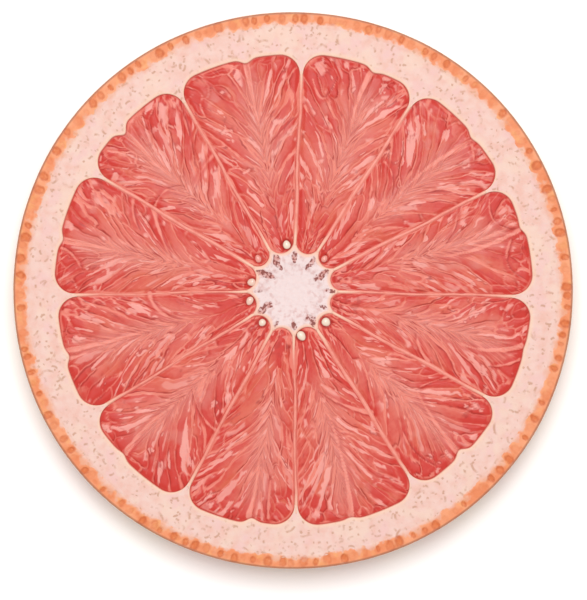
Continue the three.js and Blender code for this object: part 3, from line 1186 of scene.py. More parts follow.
@dataclass
class Pith:
    """The white peel between the pulp and the rind: a closed ring whose inner wall follows the segments."""

    plan: SlicePlan
    per_segment: int = 124
    shown_rows: int = 24
    under_rows: int = 14
    outer: float = 51.0
    lip: float = 0.32
    tuck: float = 0.5  # how far the outer edge dips under the rind

    def face(self, edge: Array, rim: Array, rows: int, face: Face) -> Surface:
        """Blend one cut face from the pulp's edge to the rim, with a quarter-round lip along the pulp.

        Args:
            edge: The inner edge's points.
            rim: The outer edge's points, one for each of the inner edge's.
            rows: How many steps to take between them.
            face: Which cut face.

        Returns:
            The points, and the tone edge, their distance from the pulp's edge in millimetres.
        """
        share = np.linspace(0, 1, rows + 1) ** 1.25
        flat = edge[:, None] + share[:, None] * (rim - edge)[:, None]
        away = np.linalg.norm(flat - edge[:, None], axis=-1)
        tuck = self.tuck * smoothstep(self.outer - 0.7, self.outer, np.linalg.norm(flat, axis=-1))
        below = rounded(away, self.lip) + tuck - face_relief(flat, face)
        return on_face(flat, below, face, self.plan.thickness), {"edge": away}

    def build(self) -> Piece:
        """Close the two faces with an inner and an outer wall.

        Returns:
            The pith's piece.
        """
        edge = self.plan.pith_edge(self.per_segment)
        angle = np.concatenate([
            self.plan.ray(index) - self.plan.width(index) * np.linspace(0.004, 0.996, self.per_segment)
            for index in range(len(self.plan.segments))
        ])
        rim = polar(self.outer + self.plan.rim_wave(angle), angle)
        shown = self.face(edge, rim, self.shown_rows, Face.SHOWN)
        under = self.face(edge, rim, self.under_rows, Face.UNDER)
        return Piece("pith", [Grid.between(shown, under, True, True)], PithFinish().material(), Slot.PITH)


@dataclass
class Core:
    """The spongy middle: a star whose arms run out between the segments, dished on both faces."""

    plan: SlicePlan
    per_segment: int = 40
    shown_rows: int = 44
    under_rows: int = 24
    dip: float = 0.3
    dip_radius: float = 5.2
    lip: float = 0.3
    pit_depth: float = 0.1

    def veins(self, flat: Array, radius: Array) -> Array:
        """Draw the fibre clusters: ragged ovals along the membranes' rays, each as strong as the plan says.

        Args:
            flat: The points seen from above.
            radius: Their distance from the axis.

        Returns:
            How deep in a cluster each point is, from 0 to 1.
        """
        angle = np.arctan2(flat[..., 1], flat[..., 0])
        veins = np.zeros(radius.shape)
        for index, cluster in enumerate(self.plan.clusters):
            turn = (angle - self.plan.ray(index) + np.pi) % (2 * np.pi) - np.pi
            outward = (radius * np.cos(turn) - cluster.reach) / cluster.half_length
            sideways = radius * np.sin(turn) / cluster.half_width + 0.5 * noise(flat, 1.1, 36)
            away = np.hypot(outward, sideways) + 0.35 * noise(flat, 0.8, 38, 2)
            veins = np.maximum(veins, cluster.strength * smoothstep(1.3, 0.6, away))
        return veins

    def face(self, edge: Array, rows: int, face: Face) -> Surface:
        """Shrink the star's outline onto the middle, with a dish there and pits in the arms' clusters.

        The dish is half an ellipsoid: its depth is dip sqrt(1 - (r / dip_radius)^2).

        Args:
            edge: The star's outline.
            rows: How many steps to take from the middle out.
            face: Which cut face.

        Returns:
            The points, and their tones.
        """
        flat = np.linspace(0, 1, rows + 1)[:, None] * edge[:, None]
        away = from_outline(flat, np.concatenate([edge, edge[:1]]))
        radius = np.linalg.norm(flat, axis=-1)
        dish = self.dip * np.sqrt(np.clip(1 - (radius / self.dip_radius) ** 2, 0, 1))
        veins = self.veins(flat, radius)
        pits = self.pit_depth * veins * smoothstep(0.1, 0.7, noise(flat, 0.5, 31, 1) * 0.5 + 0.5)
        fine = 0.05 * noise(flat, 0.7, 33 + face.value, 2)
        below = rounded(away, self.lip) + dish + pits - fine - face_relief(flat, face) * 0.5
        points = on_face(flat, np.maximum(below, 0.0), face, self.plan.thickness)
        points[:, 0] = points[:, 0].mean(axis=0)
        return points, {
            "lining": smoothstep(0.9, 0.35, away + 0.15 * noise(flat, 1.5, 39)),
            # lip: where the painted shade runs along the star's edge
            "lip": smoothstep(0.2, 0.02, away),
            "veins": veins * smoothstep(0.2, 0.4, away),
            "mottle": 0.25 + 0.75 * smoothstep(2.2, 4.5, radius + noise(flat, 2.0, 35, 2)),
        }

    def build(self) -> Piece:
        """Join the two faces by the wall round the star.

        Returns:
            The core's piece.
        """
        edge = self.plan.core_edge(self.per_segment)
        shown = self.face(edge, self.shown_rows, Face.SHOWN)
        under = self.face(edge, self.under_rows, Face.UNDER)
        return Piece("core", [Grid.between(shown, under, True, False)], CoreFinish().material(), Slot.PITH)


@dataclass
class Membranes:
    """The thin walls between the segments, from the core's arms to the pith, right through the slice."""

    plan: SlicePlan
    start: float = 8.4
    end: float = 42.0
    inner: float = 9.2  # the radii between which a membrane strays
    outer: float = 40.4
    steps: int = 150
    section: tuple[tuple[float, float], ...] = (  # half widths aside and millimetres down
        (-1.6, -0.75),
        (-1.15, -0.36),
        (-0.85, -0.1),
        (-0.4, -0.02),
        (0, 0),
        (0.4, -0.02),
        (0.85, -0.1),
        (1.15, -0.36),
        (1.6, -0.75),
    )

    def waver(self, index: int, reach: Array, lot: int, size: float, seed: int) -> Array:
        """Give one membrane its own noise along its length; lot keeps the membranes apart."""
        return noise(np.stack([reach, 0 * reach + lot * index], -1), size, seed)

    def wall(self, index: int) -> Grid:
        """Carry a round-topped section along one membrane's wavy line.

        Args:
            index: The membrane.

        Returns:
            The closed grid.
        """
        reach = np.linspace(self.start, self.end, self.steps)
        share = np.clip((reach - self.inner) / (self.outer - self.inner), 0, 1)
        stray = self.plan.stray(index, share) + 0.05 * self.waver(index, reach, 9, 1.6, 41)
        ends = np.maximum(smoothstep(33, 41, reach), smoothstep(13, 9, reach))
        patchy = 0.05 * self.waver(index, reach, 7, 2.2, 43)
        thin = self.plan.segments[index].wall
        half = thin + (self.plan.membrane / 2 - thin) * ends + patchy * (1 - ends)
        sag = -0.06 - 0.07 * (1 - ends) + 0.03 * self.waver(index, reach, 5, 1.2, 45)
        across, crest = np.array(self.section).T
        above = self.plan.thickness + sag[:, None] + crest
        below = -sag[:, None] - crest[::-1]
        sideways = stray[:, None] + half[:, None] * np.concatenate([across, across[::-1]])
        angle = self.plan.ray(index)
        along = np.array([math.cos(angle), math.sin(angle)])
        clockwise = np.array([math.sin(angle), -math.cos(angle)])
        flat = reach[:, None, None] * along + sideways[..., None] * clockwise
        height = np.concatenate([above, below], axis=1)
        points = np.concatenate([flat, height[..., None]], axis=-1)
        caps = points[[0, -1]].mean(axis=1, keepdims=True) + 0 * points[[0, -1]]
        return Grid(np.concatenate([caps[:1], points, caps[1:]]), False, True)

    def build(self) -> Piece:
        """Join all the walls in one piece."""
        walls = [self.wall(index) for index in range(len(self.plan.segments))]
        return Piece("membranes", walls, MembraneFinish().material(), Slot.PITH)


@dataclass(frozen=True)
class SacLayer:
    """One layer of sacs: where it lies, and its sacs' sizes.

    On a segment's chart reach is the share of the way from the spine to the outline, vary is how much that
    strays, and length is half a sac's length as a share of a row. In a layer of rays these three are
    millimetres from the slice's axis. pitch is the spacing across the sacs in millimetres. forward is how
    much deeper than the others' a point in these sacs counts, in millimetres. start is where the layer begins
    along the outline, kept is the share of the sacs that are there, and shade is how much paler they are.
    """

    reach: float
    vary: float
    pitch: float
    length: float
    forward: float = 0.0
    start: float = 0.0
    kept: float = 1.0
    shade: float = 0.0


@dataclass
class Sacs:
    """The juice sacs on one face of one segment, as arrays with one number for each sac.

    place is a sac's share of the way along the outline, or for a ray across the segment. reach is its signed
    share of the way from the spine, or for a ray its distance from the axis. wide and length are its half
    sizes in those units, and width is its half width in millimetres.
    """

    ray: Array
    place: Array
    reach: Array
    wide: Array
    width: Array
    length: Array
    tilt: Array
    forward: Array
    tint: Array
    # each sac's random share, which picks the sacs that carry a painted highlight facet
    gleam: Array
    slope: Array


@dataclass
class Chart:
    """One segment's grid: points, each row's place, each column's signed reach, and what is measured there.

    inside is the distance from the outline, spread is how many millimetres apart two rows would be if they
    were a whole outline apart, and lateral and ahead place a point beside and along the spine.
    """

    flat: Array
    place: Array
    reach: Array
    inside: Array
    spread: Array
    lateral: Array
    ahead: Array


@dataclass
class Flesh:
    """One cut face of one segment, and the tones that are laid on it one after another.

    owner is which sac each point belongs to, and edge its distance from that sac's boundary in millimetres.
    crosswise and lengthwise are its shares across and along the sac, from -1 to 1. thick is half a skin's
    thickness in millimetres. The tones go from 0 to 1: wall on the sacs' pale skins, groove where shade
    is painted in the dark lines beside them, vein along the spine, gleam where highlights are
    painted on glassy facets, brush where fine hairs show, dust where the flesh is pale and rim where a dark
    line of painted shade runs along the segment's own skin. shift is how much the folds change the tint.
    """

    plan: SlicePlan
    index: int
    chart: Chart
    sacs: Sacs
    owner: Array
    edge: Array
    crosswise: Array
    lengthwise: Array
    flow_length: float = 48  # a row's place and reach in millimetres, for patterns that follow the sacs
    flow_width: float = 3.6
    row_width: float = 12
    wave: float = 0.3  # how far the middle line strays from the spine
    sink: float = 0.5  # how far the flesh lies below the cut where it meets its skin
    pillow_slope: float = 0.25  # how fast a sac rises from its boundary, in millimetres
    thick: Array = field(init=False)
    wall: Array = field(init=False)
    groove: Array = field(init=False)
    vein: Array = field(init=False)
    gleam: Array = field(init=False)
    brush: Array = field(init=False)
    dust: Array = field(init=False)
    # the dark line of painted shade along the segment's own skin
    rim: Array = field(init=False)
    shift: Array = field(init=False)

    def __post_init__(self) -> None:
        """Work out what several tones share: the flow along the sacs and the distance from the spine."""
        chart = self.chart
        self.radius = np.linalg.norm(chart.flat, axis=-1)
        self.level = 0 * self.edge
        across = chart.place[:, None] * self.flow_length + self.level
        self.flow = np.stack([across, chart.reach[None, :] * self.flow_width + self.level], axis=-1)
        self.sides = np.abs(chart.lateral + self.wave * self.patches(4.0, 85))
        self.bend = 0.5 * self.patches(1.3, 98)[..., None]

    def patches(self, size: float, seed: int, octaves: int = 1) -> Array:
        """Give noise over the face, with lumps of size millimetres."""
        return noise(self.chart.flat, size, seed, octaves)

    def patchy(self, low: float, high: float, size: float, seed: int, octaves: int = 1) -> Array:
        """Blend from 0 to 1 where such noise goes from low to high."""
        return smoothstep(low, high, self.patches(size, seed, octaves))

    def inward(self, low: float | Array, high: float | Array) -> Array:
        """Blend from 0 to 1 where the distance from the segment's outline goes from low to high."""
        return smoothstep(low, high, self.chart.inside)

    def outward(self, low: float, high: float) -> Array:
        """Blend from 0 to 1 where the distance from the slice's axis goes from low to high."""
        return smoothstep(low, high, self.radius)

    def onward(self, low: float, high: float) -> Array:
        """Blend from 0 to 1 where the way along the spine goes from low to high."""
        return smoothstep(low, high, self.chart.ahead)

    def aside(self, low: float, high: float) -> Array:
        """Blend from 0 to 1 where the distance from the spine goes from low to high."""
        return smoothstep(low, high, self.sides)

    def lay_skins(self) -> None:
        """Draw the sacs' pale skins, thicker in places, with a dark line of painted shade along one side of
        each.
        """
        thick = 0.09 + 0.36 * smoothstep(-0.1, 0.9, noise(self.flow, 1.7, 81 + self.index, 2))
        near_skin = self.inward(2.2, 0.4)
        self.thick = thick + 0.14 * near_skin * self.patchy(0.0, 0.5, 3.0, 82)
        self.wall = smoothstep(self.thick + 0.1, self.thick - 0.08, self.edge)
        self.wall *= 0.3 + 0.7 * smoothstep(-0.35, 0.1, noise(self.flow, 2.6, 97, 2))
        # painted shade: a dark line just beside each skin, on one side of the sac
        beside = smoothstep(0.2, 0.04, np.abs(self.edge - self.thick - 0.12))
        one_side = smoothstep(-0.1, 0.35, self.crosswise)
        self.groove = beside * one_side * self.patchy(-0.2, 0.3, 2.6, 83)

    def lay_spine(self) -> None:
        """Run a pale vein along the spine, with fine hairs and pale dust on both its sides."""
        broad = self.sides - 0.1 - 0.5 * self.onward(27, 37)
        reached = self.onward(17, 27)
        self.vein = smoothstep(0.12, -0.04, broad) * reached * self.patchy(-0.6, -0.1, 5.0, 87)
        clear = smoothstep(1.0, 0.3, broad) * self.onward(26, 32)
        self.wall, self.groove = self.wall * (1 - 0.8 * clear), self.groove * (1 - 0.8 * clear)
        self.groove *= 1 - 0.6 * reached * self.aside(3.2, 1.6)
        brush = self.aside(3.6, 1.4) * self.onward(9, 14) * self.onward(35, 28)
        self.brush = np.maximum(brush, 0.5 * self.patchy(0.2, 0.5, 5.0, 96))
        dust = np.exp(-((self.chart.lateral / 2.6) ** 2)) * self.onward(7, 19)
        dust = dust * self.onward(38, 30)
        clouds = smoothstep(0.1, 0.5, noise(self.chart.flat + self.bend, 3.6, 161, 3))
        clouds = clouds * self.inward(2.5, 5)
        self.dust = np.maximum(dust, 0.6 * clouds)

    def lay_rim(self) -> None:
        """Add the vein to the skins, a flaky pale band along the segment's own skin and its rim, a dark line of
        painted shade.
        """
        flakes = 0.28 + 0.75 * np.maximum(self.patches(2.8, 86, 2), 0)
        flaky = self.inward(flakes + 0.08, flakes - 0.05)
        self.wall = np.maximum(np.maximum(self.wall, self.vein), flaky)
        # rim: painted shade in the crevice where the flesh meets its skin
        rim = self.inward(0.36, 0.27) * self.patchy(-0.5, 0.2, 3.0, 84)
        self.rim = np.maximum(rim, self.inward(0.4, 0.27) * self.outward(39, 42))

    def lay_facets(self) -> None:
        """Paint highlights on glassy facets of every other sac, on the thickest skins and on the vein."""
        slope, share = self.sacs.slope[self.owner], self.sacs.gleam[self.owner]
        ragged = 0.35 * self.patches(1.4, 89, 2)
        patch = smoothstep(0.5, 0.4, np.abs(self.crosswise + 0.35 + ragged))
        patch *= smoothstep(0.42, 0.34, np.abs(self.lengthwise + 0.3 * self.crosswise + ragged - 0.5 * slope))
        kept = smoothstep(-0.3, -0.1, noise(self.flow, 1.2, 90))
        patch *= smoothstep(-0.02, 0.04, self.edge - self.thick) * kept
        gleam = smoothstep(0.45, 0.47, share) * patch * self.inward(0.3, 0.5)
        gleam *= 0.5 + 0.5 * smoothstep(0.45, 0.95, share)
        # painted highlights in patches along the pale skins
        shine = self.wall * self.patchy(0.3, 0.6, 1.1, 88, 2) * self.inward(0.5, 0.9)
        on_vein = 0.95 * self.vein * self.onward(24, 32)
        self.gleam = np.maximum(np.maximum(gleam, 0.9 * shine), on_vein)

    def lay_shards(self) -> None:
        """Scatter shards of painted highlight ringed by painted shade: some along the sacs, some astray by the
        skin.
        """
        room = self.aside(0.6, 1.8) * self.inward(0.3, 0.6)
        room *= self.patchy(-0.5, -0.1, 3.5, 99, 2) * self.outward(9.5, 12)
        along = noise(self.flow * [1.3, 1.1] + self.bend, 1.5, 101 + self.index, 2)
        astray = noise(self.chart.flat + 1.2 * self.bend, 1.9, 111 + self.index, 3)
        astray = astray - 0.25 * self.inward(6, 4) + 0.1
        astray = astray * self.outward(18, 27) * self.inward(6.5, 4.5) + 0.1
        for shards, level in ((along, 0.39), (astray, 0.44)):
            # each shard is a painted highlight, and a dark ring of painted shade lies round it
            self.gleam = np.maximum(self.gleam, 0.9 * smoothstep(level, level + 0.05, shards) * room)
            shade = smoothstep(level - 0.13, level - 0.06, shards)
            shade *= smoothstep(level + 0.01, level - 0.02, shards)
            shade *= room * self.patchy(-0.2, 0.2, 1.8, 100)
            self.groove = np.maximum(self.groove, 0.6 * shade)

    def lay_bubbles(self, strength: float) -> None:
        """Crowd small round bubbles in the segment's tip, each a pale painted highlight with dots of painted
        shade between.

        Args:
            strength: How strongly they show, from 0 up.
        """
        bubble = self.patches(0.62, 141) * self.outward(14.5, 11.0) * strength
        self.gleam = np.maximum(self.gleam, 0.55 * smoothstep(0.3, 0.45, bubble))
        self.groove = np.maximum(self.groove, 0.45 * smoothstep(-0.22, -0.4, bubble))

    def lay_folds(self) -> None:
        """Lay the plan's folds over all: pale skins that narrow as they run, with painted highlight and shade,
        in clear strips of flesh.
        """
        self.shift = np.zeros(self.radius.shape)
        for fold in self.plan.folds:
            if np.linalg.norm(self.chart.flat - np.array(fold.control), axis=-1).min() > 5:
                continue
            share, away, turned = fold.measure(self.chart.flat)
            away = away + 0.14 * self.patches(1.1, 151) + 0.08
            half = fold.width * (1.3 - 0.9 * share)
            clear = smoothstep(half + 1.0, half + 0.4, away) * smoothstep(1.0, 0.9, share)
            kept = 1 - 0.8 * clear
            self.wall = np.maximum(self.wall * kept, smoothstep(half + 0.1, half - 0.04, away))
            # pale: a painted highlight along the fold's middle
            pale = 0.3 + 0.5 * smoothstep(0.2, 0.45, fold.width)
            pale = pale * smoothstep(half + 0.02, half - 0.14, away) * smoothstep(1.0, 0.5, share)
            self.gleam = np.maximum(self.gleam * kept, pale)
            # beside: painted shade along one side of the narrower folds
            beside = smoothstep(0.22, 0.06, np.abs(away - half - 0.18)) * smoothstep(-0.5, 0.5, turned)
            beside *= smoothstep(0.5, 0.3, fold.width) * self.patchy(-0.4, 0.2, 1.6, 152)
            self.groove = np.maximum(self.groove * kept, 0.75 * beside)
            self.shift = self.shift - 0.35 * clear

    def height(self) -> Array:
        """Give the height above the cut's plane: each sac is a pillow that leans to one side.

        A pillow rises from the sac's boundary as 1 - exp(-edge / pillow_slope).

        Returns:
            The heights in millimetres, all below the plane.
        """
        rise, side, pillow = self.inward(0.1, 1.2), self.side(), self.pillow()
        lean = 0.07 * self.sacs.slope[self.owner] * side * pillow
        sunk = self.sink - 0.15 * self.outward(40, 36)
        height = -sunk * (1 - 0.4 * rise) + (0.08 + 0.12 * rise) * pillow + lean * rise + 0.04 * self.wall
        height = height + 0.05 * self.patches(3.0, 91) + 0.012 * self.patches(0.8, 92, 2)
        return np.minimum(height, -0.03)

    def side(self) -> Array:
        """Give the share across the sac, held between -1 and 1."""
        return np.clip(self.crosswise, -1, 1)

    def pillow(self) -> Array:
        """Give how far up its sac's pillow a point is, from 0 to 1."""
        return 1 - np.exp(-self.edge / self.pillow_slope)

    def tint(self) -> Array:
        """Give how pale the flesh is: by the sac; by its side, as painted light and shade, paler on the flank
        that its lean lifts; by its pillow, the place, the segment's outline and deep red corners.

        Returns:
            The tone, near 0 where the flesh is deep and near 1 where it is pale.
        """
        slope = np.sign(self.sacs.slope[self.owner])
        # painted light and shade: each sac is paler on the flank that its lean lifts and deeper on the other
        tint = 0.47 + 0.5 * self.sacs.tint[self.owner] + 0.3 * self.side() * slope
        tint = tint - 0.2 * self.pillow() + self.shift
        tint = tint - 0.55 * self.outward(35, 43) * self.patchy(-0.3, 0.3, 3.5, 93, 2)
        tint = tint - 0.4 * self.outward(17, 8) + 0.2 * self.patches(6.0, 95, 2)
        corner = self.outward(36, 39) * self.inward(5.5, 3.0)
        corner = corner * self.aside(1.0, 2.5)
        deep = smoothstep(0.02, 0.14, noise(self.chart.flat + 0.8 * self.bend, 2.3, 131, 2)) * corner
        return tint - 0.14 * self.inward(3.5, 0.5) - 0.8 * deep

    def tones(self) -> dict[str, Array]:
        """Give the tones that the finish reads.

        Returns:
            The tones by their names.
        """
        # the rim's painted shade, stronger towards the pith
        painted_rim_shade = (0.3 + 0.2 * self.outward(39, 42)) * self.rim
        return {
            "tint": self.tint(),
            "gleam": self.gleam,
            "wall": self.wall * (1 - 0.8 * self.rim) * (0.75 + 0.8 * self.thick),
            "groove": np.maximum(self.groove * (1 - self.wall), painted_rim_shade),
            "brush": self.brush,
            "dust": self.dust,
            "across": (self.chart.place[:, None] + self.level) * self.flow_length,
            "along": (self.chart.reach[None, :] + self.level) * self.row_width,
        }


@dataclass
class Pulp:
    """The segments' flesh: sacs that fan out from each segment's spine like the barbs of a feather.

    Each segment has a chart. Its rows start on the spine, bend outwards and end on the outline, and the sacs
    are long lumps along those rows. Each point belongs to the sac that it lies deepest in.
    """

    plan: SlicePlan
    rows: int = 260
    shown_columns: int = 60
    under_columns: int = 24
    outset: float = 0.2
    oval: float = 1.8
    seed: int = 5
    bubbly: tuple[int, ...] = (2, 3, 6, 7)
    layers: tuple[SacLayer, ...] = (
        SacLayer(0.12, 0.06, 1.3, 0.28, 0.0, 0.42),
        SacLayer(0.66, 0.10, 2.2, 0.62, 0.1, 0.30),
        SacLayer(0.92, 0.12, 2.4, 0.22, 0.3, 0.3, 0.4),
        SacLayer(0.75, 0.22, 2.2, 0.10, 0.6, 0.3, 0.2),
        SacLayer(0.95, 0.04, 3.6, 0.10, 0.55, 0.62, 0.6, -0.5),
    )
    rays: tuple[SacLayer, ...] = (
        SacLayer(14.0, 1.6, 2.1, 9.0, 0.35, 0.0, 1.0, -0.1),
        SacLayer(9.6, 0.9, 0.9, 1.1, 0.55, 0.0, 0.5, -0.2),
    )

    def spine_share(self, place: Array) -> Array:
        """Give how far along the spine a row starts: its middle part holds the starts of most rows."""
        return 0.56 * smoothstep(0.05, 0.85, place) + 0.44 * place**10

    def chart(self, index: int, columns: int) -> Chart:
        """Lay out one segment: each row is a quadratic curve from the spine to the outline.

        Args:
            index: The segment.
            columns: How many steps a row has on each side of the spine.

        Returns:
            The chart.
        """
        place = np.linspace(0, 1, self.rows + 1)
        halves = [self.plan.half_outline(index, side, self.outset, self.rows) for side in (0, 1)]
        start, end = halves[0][0], halves[0][-1]
        spine = start + self.spine_share(place)[:, None] * (end - start)
        axis = (end - start) / np.linalg.norm(end - start)
        beside = np.array([-axis[1], axis[0]])
        bend = 0.5 - 0.28 * smoothstep(0.2, 0.5, place) * smoothstep(1.0, 0.8, place)
        reach = np.linspace(0, 1, columns + 1)
        sides, inside, spread = [], [], []
        for outline in halves:
            span = outline - spine
            ahead = (span @ axis)[:, None] * axis
            control = spine + 0.5 * ahead + bend[:, None] * (span - ahead)
            t = reach[None, :, None]
            curve = (1 - t) ** 2 * spine[:, None] + 2 * t * (1 - t) * control[:, None]
            curve = curve + t * t * outline[:, None]
            sides.append(curve)
            inside.append(from_outline(curve, outline))
            down, along = np.gradient(curve, place, axis=0), np.gradient(curve, reach, axis=1)
            crossed = np.abs(down[..., 0] * along[..., 1] - down[..., 1] * along[..., 0])
            spread.append(crossed / np.maximum(np.linalg.norm(along, axis=-1), 1e-6))
        flat, inside, spread = (
            np.concatenate([pair[0][:, :0:-1], pair[1]], axis=1) for pair in (sides, inside, spread)
        )
        signed = np.concatenate([-reach[:0:-1], reach])
        return Chart(flat, place, signed, inside, spread, (flat - start) @ beside, (flat - start) @ axis)

    def scatter(self, index: int, face: Face, chart: Chart) -> Sacs:
        """Set out the sacs layer by layer, evenly across and with every size a little random.

        Args:
            index: The segment.
            face: Which cut face.
            chart: The segment's chart.

        Returns:
            The sacs of both halves.
        """
        random = np.random.default_rng([self.seed, index, face.value + 1])
        layers = []
        for layer, side in itertools.product(self.layers, (-1, 1)):
            column = int(np.abs(chart.reach - side * layer.reach).argmin())
            spread = chart.spread[:, column]
            across = np.concatenate([[0], np.cumsum((spread[1:] + spread[:-1]) / 2 * np.diff(chart.place))])
            first = np.interp(layer.start, chart.place, across)
            steps = np.cumsum(layer.pitch * random.uniform(0.6, 1.45, 200))
            steps = steps + first - layer.pitch * random.random()
            steps = steps[(steps > first) & (steps < across[-1])]
            place = np.interp(steps, across, chart.place)
            place = place[random.random(len(place)) < layer.kept]
            reach = side * (layer.reach + random.uniform(-layer.vary, layer.vary, len(place)))
            scale = np.maximum(np.interp(place, chart.place, spread), 4.0)
            layers.append(self.sized(random, layer, False, place, reach, scale))
        for layer in self.rays:
            count = round(self.plan.width(index) * layer.reach / layer.pitch)
            place = (np.arange(count) + 0.5 + random.uniform(-0.25, 0.25, count)) / count
            place = place[random.random(count) < layer.kept]
            count = len(place)
            reach = layer.reach + random.uniform(-layer.vary, layer.vary, count)
            layers.append(self.sized(random, layer, True, place, reach, np.ones(count)))
        return Sacs(*np.concatenate(layers, axis=1))

    def sized(
        self,
        random: np.random.Generator,
        layer: SacLayer,
        ray: bool,
        place: Array,
        reach: Array,
        scale: Array,
    ) -> Array:
        """Draw the sizes and shades of one layer's sacs.

        Args:
            random: The source of random numbers.
            layer: The layer.
            ray: Whether it is a layer of rays.
            place: Each sac's place.
            reach: Each sac's reach.
            scale: How many millimetres one unit across each sac is.

        Returns:
            One row for each of the fields of Sacs, in their order.
        """
        count = len(place)
        width = layer.pitch * random.uniform(0.5, 1.1, count) * 0.62
        stretch = 1.0 if ray else 1 + 0.7 * smoothstep(0.5, 0.25, place)
        return np.stack([
            np.full(count, float(ray)),
            place,
            reach,
            width / scale,
            width,
            layer.length * random.uniform(0.65, 1.35, count) * stretch,
            random.normal(0, 0.3, count),
            layer.forward + random.uniform(-0.12, 0.12, count),
            random.random(count) + layer.shade,
            random.random(count),
            random.normal(0, 0.6, count),
        ])

    def relief(self, index: int, face: Face, columns: int) -> Surface:
        """Work out one face of a segment: its points and the tones that colour it.

        Each point's deepest sac gives it its crosswise and lengthwise shares, and the gap to the next deepest
        gives twice the distance from the boundary between the two. There lies a pale wall, with a dark line of
        painted shade beside it on one side. A sac is the oval |u|^p + |v|^p = 1, with u and v counted in its
        half sizes.

        Args:
            index: The segment.
            face: Which cut face.
            columns: How many steps a row has on each side of the spine.

        Returns:
            The points and the tones.
        """
        chart = self.chart(index, columns)
        flat = chart.flat
        sacs = self.scatter(index, face, chart)
        warp = 0.7 * noise(flat, 5.0, 51 + index, 1) + 0.26 * noise(flat, 1.8, 52 + index, 2)
        rows = chart.place[:, None] + warp / np.maximum(chart.spread, 14)
        lanes = chart.reach + 0.085 * noise(flat, 2.8, 71 + index, 3)
        radius = np.linalg.norm(flat, axis=-1)
        turn = (self.plan.ray(index) - np.arctan2(flat[..., 1], flat[..., 0]) + 0.1) % (2 * math.pi) - 0.1
        best, second = np.full((2, 3) + flat.shape[:2], 99.0)
        owner = np.zeros(flat.shape[:2], dtype=np.int64)
        crosswise, lengthwise = np.zeros(flat.shape[:2]), np.zeros(flat.shape[:2])
        for sac in range(len(sacs.place)):
            if sacs.ray[sac]:
                u = (radius - sacs.reach[sac]) / sacs.length[sac]
                v = (turn - sacs.place[sac] * self.plan.width(index)) * radius + 0.6 * warp
                v = v / sacs.wide[sac] + 0.5 * sacs.tilt[sac] * u
            else:
                u = (lanes - sacs.reach[sac]) / sacs.length[sac]
                v = (rows - sacs.place[sac]) / sacs.wide[sac] + sacs.tilt[sac] * u
            away = (np.abs(u) ** self.oval + np.abs(v) ** self.oval) ** (1 / self.oval)
            depth = (away - 1) * sacs.width[sac] - sacs.forward[sac]
            depth = np.stack([depth, *np.gradient(depth)])
            wins = depth[0] < best[0]
            second = np.where(wins, best, np.where(depth[0] < second[0], depth, second))
            best = np.where(wins, depth, best)
            owner = np.where(wins, sac, owner)
            crosswise = np.where(wins, v, crosswise)
            lengthwise = np.where(wins, u, lengthwise)
        edge = self.gap_width(flat, second - best)

        flesh = Flesh(self.plan, index, chart, sacs, owner, edge, crosswise, lengthwise)
        flesh.lay_skins()
        flesh.lay_spine()
        flesh.lay_rim()
        flesh.lay_facets()
        flesh.lay_shards()
        flesh.lay_bubbles(1.0 if index in self.bubbly else 0.5)
        flesh.lay_folds()
        height, tones = flesh.height(), flesh.tones()
        if face is Face.SHOWN:
            self.bed_seeds(flat, height, tones)
        points = on_face(flat, -height, face, self.plan.thickness)
        points[[0, -1]] = points[[0, -1]].mean(axis=1, keepdims=True)
        return points, tones

    @staticmethod
    def gap_width(flat: Array, gap: Array) -> Array:
        """Turn a gap between two fields into the distance from where they meet: the gap over its slope.

        The slope is measured on the slanted grid by its metric: for steps r and c along the grid,
        slope^2 = (c.c gr^2 - 2 r.c gr gc + r.r gc^2) / (r.r c.c - (r.c)^2).

        Args:
            flat: The grid's points seen from above.
            gap: The gap and its steps along the grid's rows and columns.

        Returns:
            The distance in millimetres.
        """
        down, along = np.gradient(flat, axis=0), np.gradient(flat, axis=1)
        rr, cc, rc = ((one * two).sum(axis=-1) for one, two in ((down, down), (along, along), (down, along)))
        area = np.maximum(rr * cc - rc * rc, 1e-9)
        slope = (cc * gap[1] ** 2 - 2 * rc * gap[1] * gap[2] + rr * gap[2] ** 2) / area
        return gap[0] / np.sqrt(np.maximum(slope, 0.15))

    def bed_seeds(self, flat: Array, height: Array, tones: dict[str, Array]) -> None:
        """Sink the pulp round each seed, with a dark ring of painted shade in the hollow, changing the heights
        and tones in place.

        Args:
            flat: The points seen from above.
            height: Their heights.
            tones: Their tones.
        """
        for seed in self.plan.seeds:
            spot = polar(seed.reach, math.radians(seed.angle))
            away = np.linalg.norm(flat - spot, axis=-1) - seed.width / 2
            ring = smoothstep(0.7, 0.2, away)
            height -= 0.25 * ring
            tones["wall"] *= 1 - ring
            tones["gleam"] *= 1 - ring
            # a dark ring of painted shade round the seed, weaker for the less developed seeds
            tones["groove"] = np.maximum(tones["groove"], smoothstep(0.45, 0.2, away) * seed.paleness)

    def body(self, index: int) -> Grid:
        """Close one segment: its shown face, a wall down each side and its under face.

        The first and last rows of both faces are single points, at the tip and the dent.

        Args:
            index: The segment.

        Returns:
            The closed grid.
        """
        shown = self.relief(index, Face.SHOWN, self.shown_columns)
        under = self.relief(index, Face.UNDER, self.under_columns)
        return Grid.between(shown, under, False, True)

    def build(self) -> list[Piece]:
        """Make one piece for each segment, all with one finish.

        Returns:
            The pieces, clockwise.
        """
        material = PulpFinish().material()
        return [
            Piece(f"pulp_{index + 1:02d}", [self.body(index)], material, Slot.PULP)
            for index in range(len(self.plan.segments))
        ]


